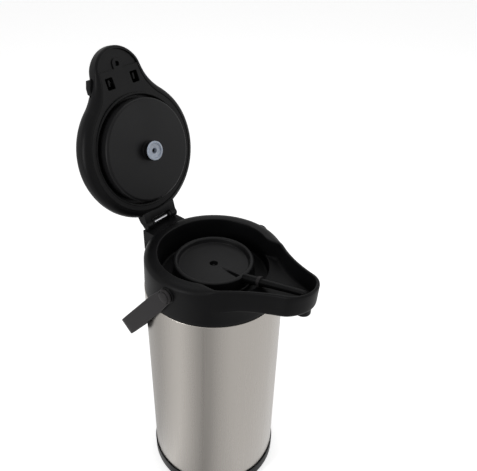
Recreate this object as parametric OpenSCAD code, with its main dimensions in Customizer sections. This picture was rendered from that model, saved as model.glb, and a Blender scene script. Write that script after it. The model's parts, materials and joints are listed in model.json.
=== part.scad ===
// Pump vacuum flask with its lid swung open and its carrying handle hanging at the back.
// Millimetres. +Z is up, +X points along the spout, the hinge is at the back (-X).
// The origin is the middle of the foot pad's underside. Pieces of the lid are drawn closed and
// then turned about the hinge pin to the open pose.

/* [Steel body] */
// Outer radius of the steel shell
shell_r = 78; // [70:0.5:90]
// Height of steel that shows between the base cap and the collar
shell_h = 262; // [200:1:320]
// Thickness of the steel shell
shell_wall = 0.8; // [0.5:0.1:1.5]
// Rounding of the steel shell's top edge
shoulder_fillet = 2.5; // [1:0.5:4]
// Thickness of the inner bottle
liner_wall = 0.8; // [0.5:0.1:1.5]
// Gap between the two steel walls
vacuum_gap = 5.2; // [3:0.2:8]
// Inner radius of the bottle's mouth
neck_r = 38; // [32:0.5:40]

/* [Base] */
// Height of the base cap's top edge above the table
base_h = 18; // [14:1:30]
// Width of the base cap's edge beyond the steel
base_lip = 1.4; // [1:0.2:4]
// Thickness of the base cap's floor
base_floor = 5; // [3.5:0.5:7]
// Radius of the foot pad
pad_r = 66; // [40:1:68]
// Thickness of the foot pad
pad_t = 3; // [2:0.5:3]

/* [Collar] */
// Height of the rim above the collar's bottom edge
collar_h = 43.5; // [40:0.5:56]
// How much narrower the rim is than the steel
collar_draft = 2; // [1:0.5:4]
// Radius of the well inside the rim
well_r = 61.3; // [59:0.1:64]
// Height of the well's floor above the collar's bottom edge
well_floor = 9; // [8:0.5:11]
// Wall thickness of the moulded plastic pieces
wall = 3; // [2:0.5:3.5]
// Rounding of the rim's outer edge
rim_fillet = 5; // [2:0.5:6]

/* [Spout] */
// How far the spout's tip stands out beyond the rim
spout_reach = 54; // [44:0.5:65]
// Radius of the spout's round tip
spout_tip_r = 26; // [20:0.5:28]
// Radius of the hollow curve along each flank of the spout
spout_flank_r = 190; // [140:5:240]
// Height of the spout's wall from its underside to its top edge
spout_h = 25; // [21:0.5:28]
// Rise of the spout's top edge from the rim to the tip
spout_rise = 12.5; // [6:0.5:14]
// Thickness of the spout's wall
spout_wall = 3.5; // [2.5:0.5:4.5]
// Half width of the trough where it leaves the well
trough_w = 53; // [48:0.5:56]
// Rounding of the spout's lower edge
spout_edge = 3; // [1:0.5:4]

/* [Stopper and tubes] */
// Radius of the stopper's ring
stopper_r = 45; // [44:0.5:46]
// Height of the ring's crest above the collar's bottom edge
stopper_top = 30.2; // [29:0.2:30.4]
// Depth of the dish inside the ring
dish_depth = 6.2; // [4:0.2:7]
// Depth of the stopper's plug below the collar's bottom edge
plug_depth = 12; // [8:1:16]
// Radius of the air hole in the dish
air_hole_r = 4.5; // [3:0.5:6]
// Outer radius of the dip tube
dip_r = 5; // [3.5:0.5:6]
// Distance of the dip tube from the axis
dip_x = 24; // [18:0.5:28]
// Outer radius of the tube's socket on the stopper
socket_r = 5; // [4:0.25:5]
// Outer radius of the dispensing tube at its wide end
tube_r = 4.2; // [3.5:0.1:4.5]
// Outer radius of the dispensing tube at the spout
tube_tip_r = 3.4; // [3:0.1:3.6]
// Upward slope of the dispensing tube in degrees
tube_tilt = 15; // [13:0.5:16]

/* [Lid] */
// Angle between the open lid and the closed one
lid_open = 105.6; // [95:0.1:108]
// Height of the lid's round part
lid_h = 26; // [25:0.5:34]
// Height of the lid's nose
nose_h = 25; // [24:0.5:28]
// How far the lid's nose stands out beyond the rim
nose_reach = 37; // [33:0.5:42]
// Radius of the lid's round nose
nose_r = 31; // [28:0.5:34]
// Radius of the hollow curve along each flank of the nose
nose_flank_r = 64; // [55:1:90]
// Gap between the closed lid and the rim
lid_gap = 0.5; // [0.3:0.1:1.2]
// Rounding of the lid's top edge
lid_fillet = 13; // [8:0.5:14]
// Rounding of the lid's lower edge
lid_edge = 9; // [5:0.5:9]
// Thickness of the panel under the lid
panel_t = 2.5; // [2:0.25:3]

/* [Pump] */
// Radius of the push button
button_r = 45.8; // [40:0.2:46]
// Height of the button above the lid
button_rise = 12; // [10:0.5:16]
// Travel of the button
button_travel = 16; // [10:0.5:16]
// Radius of the drum that holds the bellows
drum_r = 56.4; // [55:0.1:57]
// How far the drum stands out below the panel
drum_drop = 10; // [8:0.25:10]
// Gap between the drum and the hole in the panel
drum_gap = 3.2; // [2:0.1:3.4]
// Number of folds in the bellows
bellows_folds = 5; // [3:1:7]
// Outer radius of the soft seal on the nozzle
seal_r = 10.4; // [9.6:0.1:13]
// Outer radius of the nozzle
nozzle_r = 9.6; // [8:0.1:10]

/* [Hinge and latches] */
// Distance of the hinge pin behind the rim
hinge_back = 7.3; // [7:0.1:10]
// Height of the hinge pin above the rim
hinge_up = 3.5; // [2.5:0.1:4]
// Radius of the hinge pin
hinge_pin_r = 2; // [1.5:0.1:2.5]
// Half of the length of pin that shows
pin_show = 11.3; // [8:0.1:13]
// Width of each knuckle on the collar
knuckle_w = 3; // [2.5:0.5:4]
// Width of each lug on the lid
lug_w = 8.5; // [7:0.5:12]
// Travel of each release tab
tab_travel = 2.5; // [1.5:0.25:2.5]
// How far each release tab stands out of the lid
tab_out = 2.75; // [2.75:0.25:8]

/* [Handle] */
// Distance of the pivots in front of the axis
pivot_x = 5; // [0:0.5:8]
// Height of the pivots above the collar's bottom edge
pivot_z = 28.5; // [26:0.5:30]
// Radius of each pivot pin
pivot_r = 5; // [3.5:0.25:6]
// Width of the strap
strap_w = 20; // [16:0.5:22]
// Thickness of the strap
strap_t = 3; // [2:0.25:4]
// Length of the straight part of each arm
arm_l = 99; // [85:1:110]
// Angle of the hanging handle below the horizontal
handle_drop = 50.6; // [48:0.1:56]

/* [Fits] */
// Radial clearance of pins and tubes in their bores
run_fit = 0.05; // [0.02:0.01:0.09]
// Clearance between pieces that move past each other
slide_gap = 0.4; // [0.3:0.05:0.5]
// Clearance between curved faces that lie side by side
rest_gap = 0.3; // [0.2:0.05:0.5]

/* [Hidden] */
$fn = 96;
// Length that surely passes through a piece, and a small overlap for clean cuts
far = 300;
eps = 0.5;
// Where the wedge of a drop-shaped outline starts, clear of the axis
wedge_x = 20;

// Body
collar_z = base_h + shell_h;
pad_show = 1;
shell_bottom = pad_show + base_floor;
neck_out = neck_r + liner_wall + vacuum_gap;
shoulder_flat = 3;
shoulder_up = 4;
neck_top = 10;
lip_t = 1.5;
lip_top = neck_top + lip_t;
gasket_t = 2;
liner_r = shell_r - shell_wall - vacuum_gap;
liner_bottom = shell_bottom + shell_wall + vacuum_gap + 4;
liner_round = 14;
liner_shoulder = 18;
liner_neck = 4;

// Collar and spout
rim_r = shell_r - collar_draft;
skirt_r = shell_r - 0.5;
tip_x = rim_r + spout_reach - spout_tip_r;
rise_run = 36;
rise_x = rim_r - rise_run;
slope = spout_rise / (rim_r + spout_reach - rise_x);
spout_tilt = atan(slope);
trough_d = spout_h - wall;
spout_rim = 3;
well_hole_r = stopper_r + 2.5;

// Stopper and tubes
plug_r = neck_r - 1.5;
seat_z = lip_top + gasket_t;
ring_w = 5;
dish_z = stopper_top - dish_depth;
gasket_z = -6;
gasket_h = 4;
tube_x = stopper_r;
tube_z = 26.6;
socket_l = 20.5;
sleeve_l = 4;
sleeve_t = 1;
tube_bore_r = 2.2;
bend_grow = 0.1;
outlet_set = 10;
outlet_x = rim_r + spout_reach - outlet_set;
tube_end = outlet_x - 3;
tube_l = (tube_end - tube_x) / cos(tube_tilt);
outlet_r = 8;
outlet_stem_r = tube_tip_r + 2.6;
outlet_drop = 3;
outlet_stem = 7;

// Hinge
hinge_x = -(rim_r + hinge_back);
hinge_z = collar_h + hinge_up;
barrel_r = hinge_pin_r + 2.6;
lug_r = barrel_r + 0.3;
lug_in = pin_show + knuckle_w + rest_gap;
lug_out = lug_in + lug_w;
pin_l = lug_out - 1;
block_top = hinge_z - lug_r - slide_gap;
block_h = 34;
block_heel = 26;
block_back = hinge_x - hinge_pin_r - 1;
block_w = lug_out + 1.5;
saddle_r = barrel_r - 0.4;
saddle_in = hinge_pin_r + slide_gap;

// Lid
lid_z = collar_h + lid_gap;
nose_x = rim_r + nose_reach - nose_r;
drum_hole_r = drum_r + drum_gap;
upstand_t = 2.4;
lip_share = 0.473;
lip_w = wall + (rim_r - drum_hole_r - upstand_t - wall) * lip_share;
lip_h = 5;
nose_lip = 14;
nose_edge = 7;
edge_break = 0.6;
panel_r = rim_r - lip_w - rest_gap;
panel_z = lid_z + 0.5;
panel_end = nose_x + 8;
upstand_h = 7.7;
upstand_top = panel_z + upstand_h;
drum_z = panel_z - drum_drop;
drum_wall = 2.8;
drum_floor = 3;
drum_flange = 2;
drum_edge = 3;
lid_top = lid_z + lid_h;
button_top = lid_top + button_rise;
button_wall = 2.4;
button_plate = 4;
well_wall_h = 12;
flange_t = 2.2;
flange_w = 3;
flange_top = lid_top - well_wall_h - rest_gap;
bellows_r = button_r - button_wall - 0.9;
bellows_fold = 7;
bellows_wall = 1.2;
spring_r = 16;
spring_t = 3;
valve_r = 8;
valve_t = 1.4;
seal_z = dish_z + slide_gap;
seal_t = 2.4;
spigot_l = 5;
spigot_wall = 1.6;
nozzle_bore_r = nozzle_r / 2;
nozzle_stem_r = nozzle_r - 1.5;
nozzle_flange_r = nozzle_r + 1.5;
nozzle_flange_t = 1.2;

// Screw and latches
screw_x = panel_end + 4.5;
screw_hole_r = 2.6;
screw_tab_r = 6;
screw_r = 1.5;
screw_head = 2;
screw_l = 5;
nose_recess = 0.5;
boss_low = panel_z + panel_t + rise_at(screw_x + screw_tab_r) + rest_gap;
slot_x = nose_x - 5;
slot_l = 12;
slot_in = 12;
slot_out = 21.5;
tab_x = slot_x + 0.5;
tab_w = 16;
tab_h = 7;
tab_z = lid_z + 18;
tab_y = flank_y(rim_r, nose_x, nose_r, nose_flank_r, tab_x);
hook_in = slot_in + tab_travel + 1;
hook_t = 2.5;
hook_w = 7;
rib_y = 7;
tab_spring_r = 1.8;

// Handle
eye_r = pivot_r + 3.5;
boss_r = eye_r + 0.5;
boss_y = shell_r - 0.2;
pivot_depth = 9;
arm_y = boss_y + rest_gap + strap_t / 2;
taper_l = 22;
eye_step = 0.5;
bail_reach = (pivot_x + shell_r + rest_gap + strap_w / 2 * sin(handle_drop)) / cos(handle_drop)
    + strap_t;
cap_r = pivot_r + 1.5;
cap_h = 2.2;
bail_steps = 24;

// Colours
steel = [0.66, 0.65, 0.63];
bright = [0.82, 0.82, 0.84];
black = [0.13, 0.13, 0.14];
dark = [0.09, 0.09, 0.10];
grey = [0.21, 0.20, 0.21];
silicone = [0.87, 0.91, 0.95];

// Points of an arc in a plane
function arc(cx, cy, r, from, to, n = 6) =
    [for (i = [0:n]) let (a = from + (to - from) * i / n) [cx + r * cos(a), cy + r * sin(a)]];

// Height that the spout's slope adds at x
function rise_at(x) = max(0, x - rise_x) * slope;

// Centre of the circle that touches a round body at the origin and a round tip at x from outside
function flank_centre(r, x, tip, flank) =
    let (a = r + flank, b = tip + flank, cx = (a * a - b * b + x * x) / (2 * x))
    [cx, sqrt(a * a - cx * cx)];

// Half width of that drop shape's hollow flank at x
function flank_y(r, x, tip, flank, at) =
    let (c = flank_centre(r, x, tip, flank))
    c.y - sqrt(flank * flank - (at - c.x) * (at - c.x));

// A drop-shaped outline: the wedge between a round body and a round tip, with hollow flanks
module beak(r, x, tip, flank) {
    c = flank_centre(r, x, tip, flank);
    root = c * r / (r + flank);
    end = [x, 0] + (c - [x, 0]) * tip / (tip + flank);
    difference() {
        polygon([[wedge_x, 0], root, c, end, [x, 0], [end.x, -end.y], [c.x, -c.y], [root.x, -root.y]]);
        for (side = [-1, 1])
            translate([c.x, side * c.y]) circle(flank, $fn = 240);
    }
    translate([x, 0]) circle(tip);
}

// The same drop shape as a solid, h high, with rounded lower and upper edges
module round_beak(r, x, tip, flank, h, low, high, n = 4) {
    c = flank_centre(r, x, tip, flank);
    root = c * r / (r + flank);
    end = [x, 0] + (c - [x, 0]) * tip / (tip + flank);
    difference() {
        linear_extrude(h)
            polygon([[wedge_x, 0], root, c, end, [x, 0], [end.x, -end.y], [c.x, -c.y], [root.x, -root.y]]);
        for (side = [-1, 1])
            translate([c.x, side * c.y, 0])
                rotate_extrude($fn = 240)
                    polygon(concat([[0, -eps], [flank + low, -eps]],
                        arc(flank + low, low, low, 270, 180, n),
                        arc(flank + high, h - high, high, 180, 90, n),
                        [[flank + high, h + eps], [0, h + eps]]));
    }
    translate([x, 0, 0])
        rotate_extrude()
            polygon(concat([[0, 0]], arc(tip - low, low, low, -90, 0, n),
                arc(tip - high, h - high, high, 0, 90, n), [[0, h]]));
}

// Everything above the rim's surface, raised by z
module above_rim(z) {
    rotate([90, 0, 0])
        linear_extrude(far, center = true)
            polygon([[-far, z], [rise_x, z], [far, z + rise_at(far)], [far, far], [-far, far]]);
}

// A slab that follows the rim's surface between two heights
module rim_slab(z, t) {
    rotate([90, 0, 0])
        linear_extrude(far, center = true)
            polygon([[-far, z], [rise_x, z], [far, z + rise_at(far)],
                [far, z + t + rise_at(far)], [rise_x, z + t], [-far, z + t]]);
}

// Frame of the collar: heights count from its bottom edge
module on_collar() {
    translate([0, 0, collar_z]) children();
}

// Frame of the lid: drawn closed, shown open
module on_lid() {
    on_collar()
        translate([hinge_x, 0, hinge_z])
            rotate([0, -lid_open, 0])
                translate([-hinge_x, 0, -hinge_z]) children();
}

// Frame of the slope that the spout and the lid's nose follow, through the rim raised to z
module on_slope(z) {
    translate([rise_x, 0, z]) rotate([0, -spout_tilt, 0]) translate([-rise_x, 0, 0]) children();
}

// Frame of the dispensing tube: z runs along it from the stopper
module along_tube() {
    on_collar()
        translate([tube_x, 0, tube_z])
            rotate([0, 90 - tube_tilt, 0]) children();
}

// A rod across the part, centred on y = 0
module cross_rod(r, l) {
    rotate([90, 0, 0]) cylinder(r = r, h = l, center = true);
}

// A rod from y to y + l on one side
module side_rod(r, y, l, side) {
    translate([0, side * y, 0]) rotate([-90 * side, 0, 0]) cylinder(r = r, h = l);
}

// A round ring standing on z
module ring(r_in, r_out, z, h) {
    translate([0, 0, z])
        difference() {
            cylinder(r = r_out, h = h);
            translate([0, 0, -eps]) cylinder(r = r_in, h = h + 2 * eps);
        }
}

// A block, w along x and h along z, from y0 to y1 on one side
module span(w, h, y0, y1, side) {
    translate([-w / 2, side > 0 ? y0 : -y1, -h / 2]) cube([w, y1 - y0, h]);
}

// Base cap: a shallow cup round the foot of the steel shell
module base_cap() {
    r = shell_r + base_lip;
    color(black)
        difference() {
            rotate_extrude()
                polygon(concat([[0, pad_show]], arc(r - 2, pad_show + 2, 2, -90, 0, 4),
                    [[r, base_h - 1], [r - 1, base_h], [0, base_h]]));
            translate([0, 0, shell_bottom]) cylinder(r = shell_r + rest_gap, h = far);
            translate([0, 0, -eps]) cylinder(r = pad_r + rest_gap, h = pad_t + eps);
        }
}

// Foot pad: a rubber disc let into the base cap
module foot_pad() {
    color(dark) cylinder(r = pad_r, h = pad_t);
}

// Outer shell: the steel wall with its shoulder and outer neck
module outer_shell() {
    r = shell_r;
    w = shell_wall;
    f = shoulder_fillet;
    flat = r - f - shoulder_flat;
    up = collar_z + shoulder_up;
    color(steel)
        rotate_extrude($fn = 128)
            polygon(concat([[0, shell_bottom]], arc(r - 4, shell_bottom + 4, 4, -90, 0, 4),
                arc(r - f, collar_z - f, f, 0, 90, 4),
                [[flat, collar_z], [neck_out, up], [neck_out, collar_z + neck_top],
                [neck_out - w, collar_z + neck_top], [neck_out - w, up - w], [flat, collar_z - w]],
                arc(r - f, collar_z - f, f - w, 90, 0, 4),
                arc(r - 4, shell_bottom + 4, 4 - w, 0, -90, 4), [[0, shell_bottom + w]]));
}

// Inner liner: the steel bottle, welded to the outer neck at its lip
module inner_liner() {
    r = liner_r;
    w = liner_wall;
    b = liner_bottom;
    round = liner_round;
    low = collar_z - liner_shoulder;
    high = collar_z - liner_neck;
    color(steel)
        rotate_extrude($fn = 128)
            polygon(concat([[0, b]], arc(r - round, b + round, round, -90, 0, 6),
                [[r, low], [neck_r + w, high], [neck_r + w, collar_z + neck_top],
                [neck_out + 1.5, collar_z + neck_top], [neck_out + 1.5, collar_z + lip_top],
                [neck_r, collar_z + lip_top], [neck_r, high - w], [r - w, low - w]],
                arc(r - round, b + round, round - w, 0, -90, 6), [[0, b + w]]));
}

// Neck gasket: the soft ring between the bottle's lip and the stopper
module neck_gasket() {
    color(silicone) on_collar() ring(neck_r + 1.5, neck_out, lip_top, gasket_t);
}

// Inner outline of the spout's trough, one wall inside the spout and no wider than its mouth
module trough_outline() {
    intersection() {
        beak(rim_r - spout_wall, tip_x, spout_tip_r - spout_wall, spout_flank_r + spout_wall);
        translate([0, -trough_w]) square([far, 2 * trough_w]);
    }
}

// Wall behind the pin that shows, between the two knuckles
module hinge_saddle() {
    low = block_top - hinge_z - eps;
    front = -saddle_in / 2;
    translate([hinge_x, pin_show + eps, hinge_z])
        rotate([90, 0, 0])
            linear_extrude(2 * (pin_show + eps))
                polygon(concat(arc(0, 0, saddle_r, 90, 180), [[-saddle_r, low], [front, low]],
                    arc(0, 0, saddle_in, 240, 90)));
}

// Hinge block at the collar's back, with a knuckle at each end of the pin that shows
module hinge_block() {
    front = -(rim_r - 6);
    translate([0, block_w, block_top])
        rotate([90, 0, 0])
            linear_extrude(2 * block_w)
                polygon([[block_back, 0], [front, 0], [front, -block_h], [block_back, -block_heel]]);
    hinge_saddle();
    for (side = [-1, 1])
        translate([hinge_x, 0, hinge_z]) {
            side_rod(barrel_r, pin_show, knuckle_w, side);
            translate([(barrel_r - hinge_pin_r) / 2 - 1, 0, (block_top - hinge_z - eps) / 2])
                span(barrel_r + hinge_pin_r, hinge_z - block_top + eps, pin_show, pin_show + knuckle_w,
                    side);
        }
}

// Collar: the moulded head with its well, spout, hinge block and handle bosses
module collar() {
    f = rim_fillet;
    color(black)
        on_collar()
            difference() {
                union() {
                    difference() {
                        rotate_extrude()
                            polygon(concat([[0, 0], [skirt_r, 0]],
                                arc(rim_r - f, collar_h - f, f, 0, 90, 5), [[0, collar_h]]));
                        // Hollow below the well's floor, and under the rim behind the spout
                        translate([0, 0, -eps])
                            cylinder(r = skirt_r - wall, h = well_floor - wall + eps);
                        difference() {
                            ring(well_r + wall, rim_r - wall, 0, collar_h - wall - 1);
                            translate([wedge_x, -far / 2, -eps]) cube(far);
                        }
                    }
                    on_slope(collar_h - spout_h)
                        round_beak(rim_r - 1, tip_x, spout_tip_r, spout_flank_r, spout_h, spout_edge,
                            spout_rim);
                    hinge_block();
                    translate([pivot_x, 0, pivot_z])
                        for (side = [-1, 1])
                            side_rod(boss_r, boss_y - pivot_depth - wall, pivot_depth + wall, side);
                }
                translate([0, 0, well_floor]) cylinder(r = well_r, h = far);
                cylinder(r = well_hole_r, h = far, center = true);
                on_slope(collar_h) {
                    translate([0, 0, -trough_d]) linear_extrude(far) trough_outline();
                    translate([outlet_x, 0, -spout_h - eps]) cylinder(r = outlet_stem_r + run_fit, h = far);
                }
                translate([pivot_x, 0, pivot_z])
                    for (side = [-1, 1])
                        side_rod(pivot_r + run_fit, boss_y - pivot_depth, pivot_depth + eps, side);
                translate([hinge_x, 0, hinge_z]) cross_rod(hinge_pin_r + run_fit, 4 * pin_show);
            }
}

// Spout nozzle: the outlet under the spout's tip, clipped into the trough's floor
module spout_nozzle() {
    color(dark)
        on_collar()
            on_slope(collar_h)
                translate([outlet_x, 0, -spout_h])
                    difference() {
                        union() {
                            translate([0, 0, -outlet_drop]) cylinder(r = outlet_r, h = outlet_drop);
                            cylinder(r = outlet_stem_r, h = outlet_stem);
                        }
                        cylinder(r = tube_tip_r + rest_gap, h = far, center = true);
                    }
}

// Hinge pin: the bright rod that carries the lid
module hinge_pin() {
    color(bright) on_collar() translate([hinge_x, 0, hinge_z]) cross_rod(hinge_pin_r, 2 * pin_l);
}

// Stopper body: a plug with a dished top inside a raised ring
module stopper_body() {
    crest = ring_w / 2;
    color(black)
        on_collar()
            difference() {
                rotate_extrude()
                    polygon(concat([[0, -plug_depth], [plug_r, -plug_depth], [plug_r, seat_z],
                        [stopper_r, seat_z]],
                        arc(stopper_r - crest, stopper_top - crest, crest, 0, 180, 8),
                        [[stopper_r - ring_w - 1, dish_z], [0, dish_z]]));
                cylinder(r = air_hole_r, h = far, center = true);
                translate([dip_x, 0, -plug_depth - eps])
                    cylinder(r = dip_r + run_fit, h = plug_depth + seat_z - lip_top + eps);
            }
}

// Stopper gasket: the soft ring round the plug
module stopper_gasket() {
    color(silicone) on_collar() ring(plug_r, neck_r - rest_gap / 2, gasket_z, gasket_h);
}

// Air valve: the soft flap in the dish's air hole
module air_valve() {
    color(dark)
        on_collar()
            translate([0, 0, dish_z - 7]) {
                cylinder(r = air_hole_r - run_fit, h = 2);
                translate([0, 0, 2]) cylinder(r1 = air_hole_r - 1, r2 = 1, h = 3);
            }
}

// Dip tube: reaches from the stopper to just above the bottle's floor
module dip_tube() {
    low = liner_bottom + liner_wall + 6;
    high = collar_z + seat_z - lip_top;
    color(silicone)
        translate([dip_x, 0, 0])
            difference() {
                translate([0, 0, low]) cylinder(r = dip_r, h = high - low);
                translate([0, 0, low - eps]) cylinder(r = dip_r - 1, h = high - low + 2 * eps);
            }
}

// Tube socket: the stub on the stopper that takes the dispensing tube
module tube_socket() {
    color(black)
        difference() {
            along_tube()
                translate([0, 0, -2])
                    difference() {
                        cylinder(r = socket_r, h = socket_l + 2);
                        translate([0, 0, -eps]) cylinder(r = socket_r - 1.5, h = far);
                    }
            cylinder(r = stopper_r + rest_gap, h = far * 2);
        }
}

// Tube sleeve: the collar round the joint of the socket and the tube
module tube_sleeve() {
    color(grey)
        along_tube() ring(socket_r + run_fit, socket_r + sleeve_t, socket_l - sleeve_l / 2, sleeve_l);
}

// Straight run of the dispensing tube, and its leg down into the outlet
module tube_run(wide, narrow, from) {
    along_tube() {
        translate([0, 0, from]) cylinder(r1 = wide, r2 = narrow, h = tube_l - from);
        translate([0, 0, tube_l]) sphere(narrow + bend_grow);
    }
}

module tube_leg(r, extra) {
    end = tube_z + tube_l * sin(tube_tilt) - collar_h - rise_at(tube_end);
    on_collar()
        on_slope(collar_h)
            translate([outlet_x, 0, -spout_h + outlet_stem - 2 - extra])
                cylinder(r = r, h = end + spout_h - outlet_stem + 2 + extra);
}

// Dispensing tube: rises along the trough and turns down into the outlet
module dispense_tube() {
    start = socket_l + 0.2;
    head = sleeve_l / 2;
    color(black)
        difference() {
            union() {
                along_tube() translate([0, 0, start]) cylinder(r = socket_r, h = head);
                tube_run(tube_r, tube_tip_r, start + head - eps);
                tube_leg(tube_tip_r, 0);
            }
            tube_run(tube_bore_r, tube_bore_r, start - eps);
            tube_leg(tube_bore_r, eps);
        }
}

// One side of the bail's arch, off to the outside of its middle line
function arch(off) =
    [for (i = [-bail_steps:bail_steps]) let (a = 90 * i / bail_steps)
        [arm_l + (bail_reach - arm_l + off) * cos(a), (arm_y + off) * sin(a)]];

function reversed(list) = [for (i = [len(list) - 1:-1:0]) list[i]];

// Side view of the strap: it narrows towards the eyes
module strap_side() {
    half = strap_w / 2;
    rotate([90, 0, 0])
        linear_extrude(far, center = true)
            polygon([[0, -eye_r + eye_step], [taper_l, -half], [far, -half], [far, half], [taper_l, half],
                [0, eye_r - eye_step]]);
}

// Handle bail: a flat strap bent round the back of the flask, with an eye at each end
module handle_bail() {
    half = strap_t / 2;
    color(grey)
        on_collar()
            translate([pivot_x, 0, pivot_z])
                difference() {
                    union() {
                        rotate([0, 180 - handle_drop, 0])
                            intersection() {
                                linear_extrude(2 * strap_w, center = true)
                                    polygon(concat([[0, -arm_y - half]], arch(half),
                                        [[0, arm_y + half], [0, arm_y - half]],
                                        reversed(arch(-half)), [[0, -arm_y + half]]));
                                strap_side();
                            }
                        for (side = [-1, 1])
                            side_rod(eye_r, arm_y - half, strap_t, side);
                    }
                    cross_rod(pivot_r + run_fit, far);
                }
}

// Handle pin: a domed pin that holds one eye of the bail against its boss
module handle_pin(side) {
    head_y = arm_y + strap_t / 2 + rest_gap;
    dome = (cap_r * cap_r + cap_h * cap_h) / (2 * cap_h);
    color(grey)
        on_collar()
            translate([pivot_x, 0, pivot_z]) {
                side_rod(pivot_r, boss_y - pivot_depth + rest_gap, head_y - boss_y + pivot_depth, side);
                intersection() {
                    translate([0, side * (head_y + cap_h - dome), 0]) sphere(dome);
                    side_rod(cap_r, head_y, cap_h, side);
                }
            }
}

module handle_pin_left() {
    handle_pin(1);
}

module handle_pin_right() {
    handle_pin(-1);
}

// Hollow of the lid's shell, with a lip round the panel
module lid_hollow() {
    t = wall;
    f = lid_fillet;
    rotate_extrude()
        polygon([[0, lid_z - eps], [rim_r - lip_w, lid_z - eps], [rim_r - lip_w, lid_z + lip_h],
            [rim_r - t, lid_z + lip_h + lip_w - t], [rim_r - t, lid_top - f], [rim_r - f, lid_top - t],
            [0, lid_top - t]]);
    translate([0, 0, lid_z - eps])
        linear_extrude(nose_lip + 2 * eps)
            beak(rim_r - lip_w - 1, nose_x, nose_r - lip_w, nose_flank_r + lip_w);
    translate([0, 0, lid_z + nose_lip])
        linear_extrude(nose_h - t - nose_lip)
            beak(rim_r - t - 1, nose_x, nose_r - t, nose_flank_r + t);
}

// Plate of the lid's hinge, from x to the lid's wall, w wide and centred on y
module hinge_plate(x, y, w) {
    root = -(rim_r - 6);
    translate([0, y, 0])
        rotate([90, 0, 0])
            linear_extrude(w, center = true)
                polygon([[x, lid_z + rest_gap], [root, lid_z + rest_gap], [root, lid_top - lid_fillet],
                    [x, hinge_z + lug_r - 0.5]]);
}

// Two lugs that carry the lid on the hinge pin, and the web between them
module lid_lugs() {
    for (side = [-1, 1]) {
        translate([hinge_x, 0, hinge_z]) side_rod(lug_r, lug_in, lug_w, side);
        hinge_plate(hinge_x, side * (lug_in + lug_w / 2), lug_w);
    }
    hinge_plate(hinge_x + lug_r + slide_gap, 0, 2 * lug_in + eps);
}

// Floor of the nose beyond the panel's end
module nose_floor() {
    intersection() {
        translate([0, 0, lid_z])
            linear_extrude(nose_h - wall)
                beak(rim_r - lip_w - 1, nose_x, nose_r - lip_w + 2, nose_flank_r + lip_w);
        rim_slab(panel_z + nose_recess, panel_t);
        translate([panel_end + rest_gap, -far / 2, 0]) cube(far);
    }
}

// Lid shell: the domed cover with its nose, button well and hinge lugs
module lid_shell() {
    f = lid_fillet;
    e = lid_edge;
    roof = lid_z + nose_h - wall;
    color(black)
        on_lid()
            difference() {
                union() {
                    difference() {
                        union() {
                            rotate_extrude()
                                polygon(concat([[0, lid_z]], arc(rim_r - e, lid_z + e, e, -90, 0, 5),
                                    arc(rim_r - f, lid_top - f, f, 0, 90, 6), [[0, lid_top]]));
                            translate([0, 0, lid_z])
                                round_beak(rim_r - 1, nose_x, nose_r, nose_flank_r, nose_h, edge_break,
                                    nose_edge, 3);
                        }
                        lid_hollow();
                    }
                    translate([0, 0, lid_top - well_wall_h])
                        cylinder(r = button_r + slide_gap + button_wall, h = well_wall_h - 1);
                    nose_floor();
                    // Rib between the latch springs, and the screw's boss
                    translate([tab_x - 3, -rib_y, tab_z - 4])
                        cube([6, 2 * rib_y, roof - tab_z + 5]);
                    translate([screw_x, 0, boss_low])
                        cylinder(r = 4, h = roof - boss_low + 1);
                    lid_lugs();
                }
                rim_cut();
                translate([0, 0, lid_z]) cylinder(r = button_r + slide_gap, h = far);
                screw_tab(rest_gap, lid_z - 1, panel_t + 5);
                screw_bores();
                for (side = [-1, 1])
                    translate([tab_x, 0, tab_z])
                        span(tab_w + 2 * slide_gap, tab_h + 2 * slide_gap, tab_y - 9, tab_y + 9, side);
                translate([hinge_x, 0, hinge_z])
                    for (side = [-1, 1])
                        side_rod(hinge_pin_r + run_fit, 0, pin_l + rest_gap, side);
            }
}

// Everything below the lid's lower face over the spout's slope
module rim_cut() {
    rotate([90, 0, 0])
        linear_extrude(far, center = true)
            polygon([[rise_x, lid_z - lid_h], [far, lid_z - lid_h], [far, lid_z + rise_at(far)],
                [rise_x, lid_z]]);
}

// Tongue of the panel round its screw, grown by a clearance
module screw_tab(grow, z, t) {
    intersection() {
        linear_extrude(far) {
            translate([screw_x, 0]) circle(screw_tab_r + grow);
            translate([panel_end - 5, -screw_tab_r - grow])
                square([screw_x - panel_end + 5, 2 * (screw_tab_r + grow)]);
        }
        rim_slab(z, t);
    }
}

// Counterbore and pilot hole for the lid's screw
module screw_bores() {
    head_z = boss_low + screw_head;
    translate([screw_x, 0, lid_z]) cylinder(r = screw_hole_r, h = head_z - lid_z);
    translate([screw_x, 0, lid_z]) cylinder(r = screw_r + run_fit, h = head_z - lid_z + screw_l);
}

// Lid panel: the flat underside with the drum's hole, the latch slots and the screw's tongue
module lid_panel() {
    color(black)
        on_lid()
            difference() {
                union() {
                    intersection() {
                        translate([0, 0, lid_z]) cylinder(r = panel_r, h = 2 * upstand_h);
                        rim_slab(panel_z, panel_t);
                    }
                    intersection() {
                        translate([0, 0, lid_z])
                            linear_extrude(2 * upstand_h)
                                beak(panel_r - 1, nose_x, nose_r - lip_w - rest_gap,
                                    nose_flank_r + lip_w + rest_gap);
                        rim_slab(panel_z, panel_t);
                        translate([panel_end - far, -far / 2, 0]) cube(far);
                    }
                    screw_tab(0, panel_z, panel_t);
                    intersection() {
                        ring(drum_hole_r, drum_hole_r + upstand_t, panel_z, upstand_h);
                        above_rim(panel_z);
                    }
                }
                translate([0, 0, lid_z]) cylinder(r = drum_hole_r, h = far);
                translate([screw_x, 0, lid_z]) cylinder(r = screw_hole_r, h = far);
                for (side = [-1, 1])
                    translate([slot_x, 0, lid_z]) span(slot_l, far, slot_in, slot_out, side);
            }
}

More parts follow.
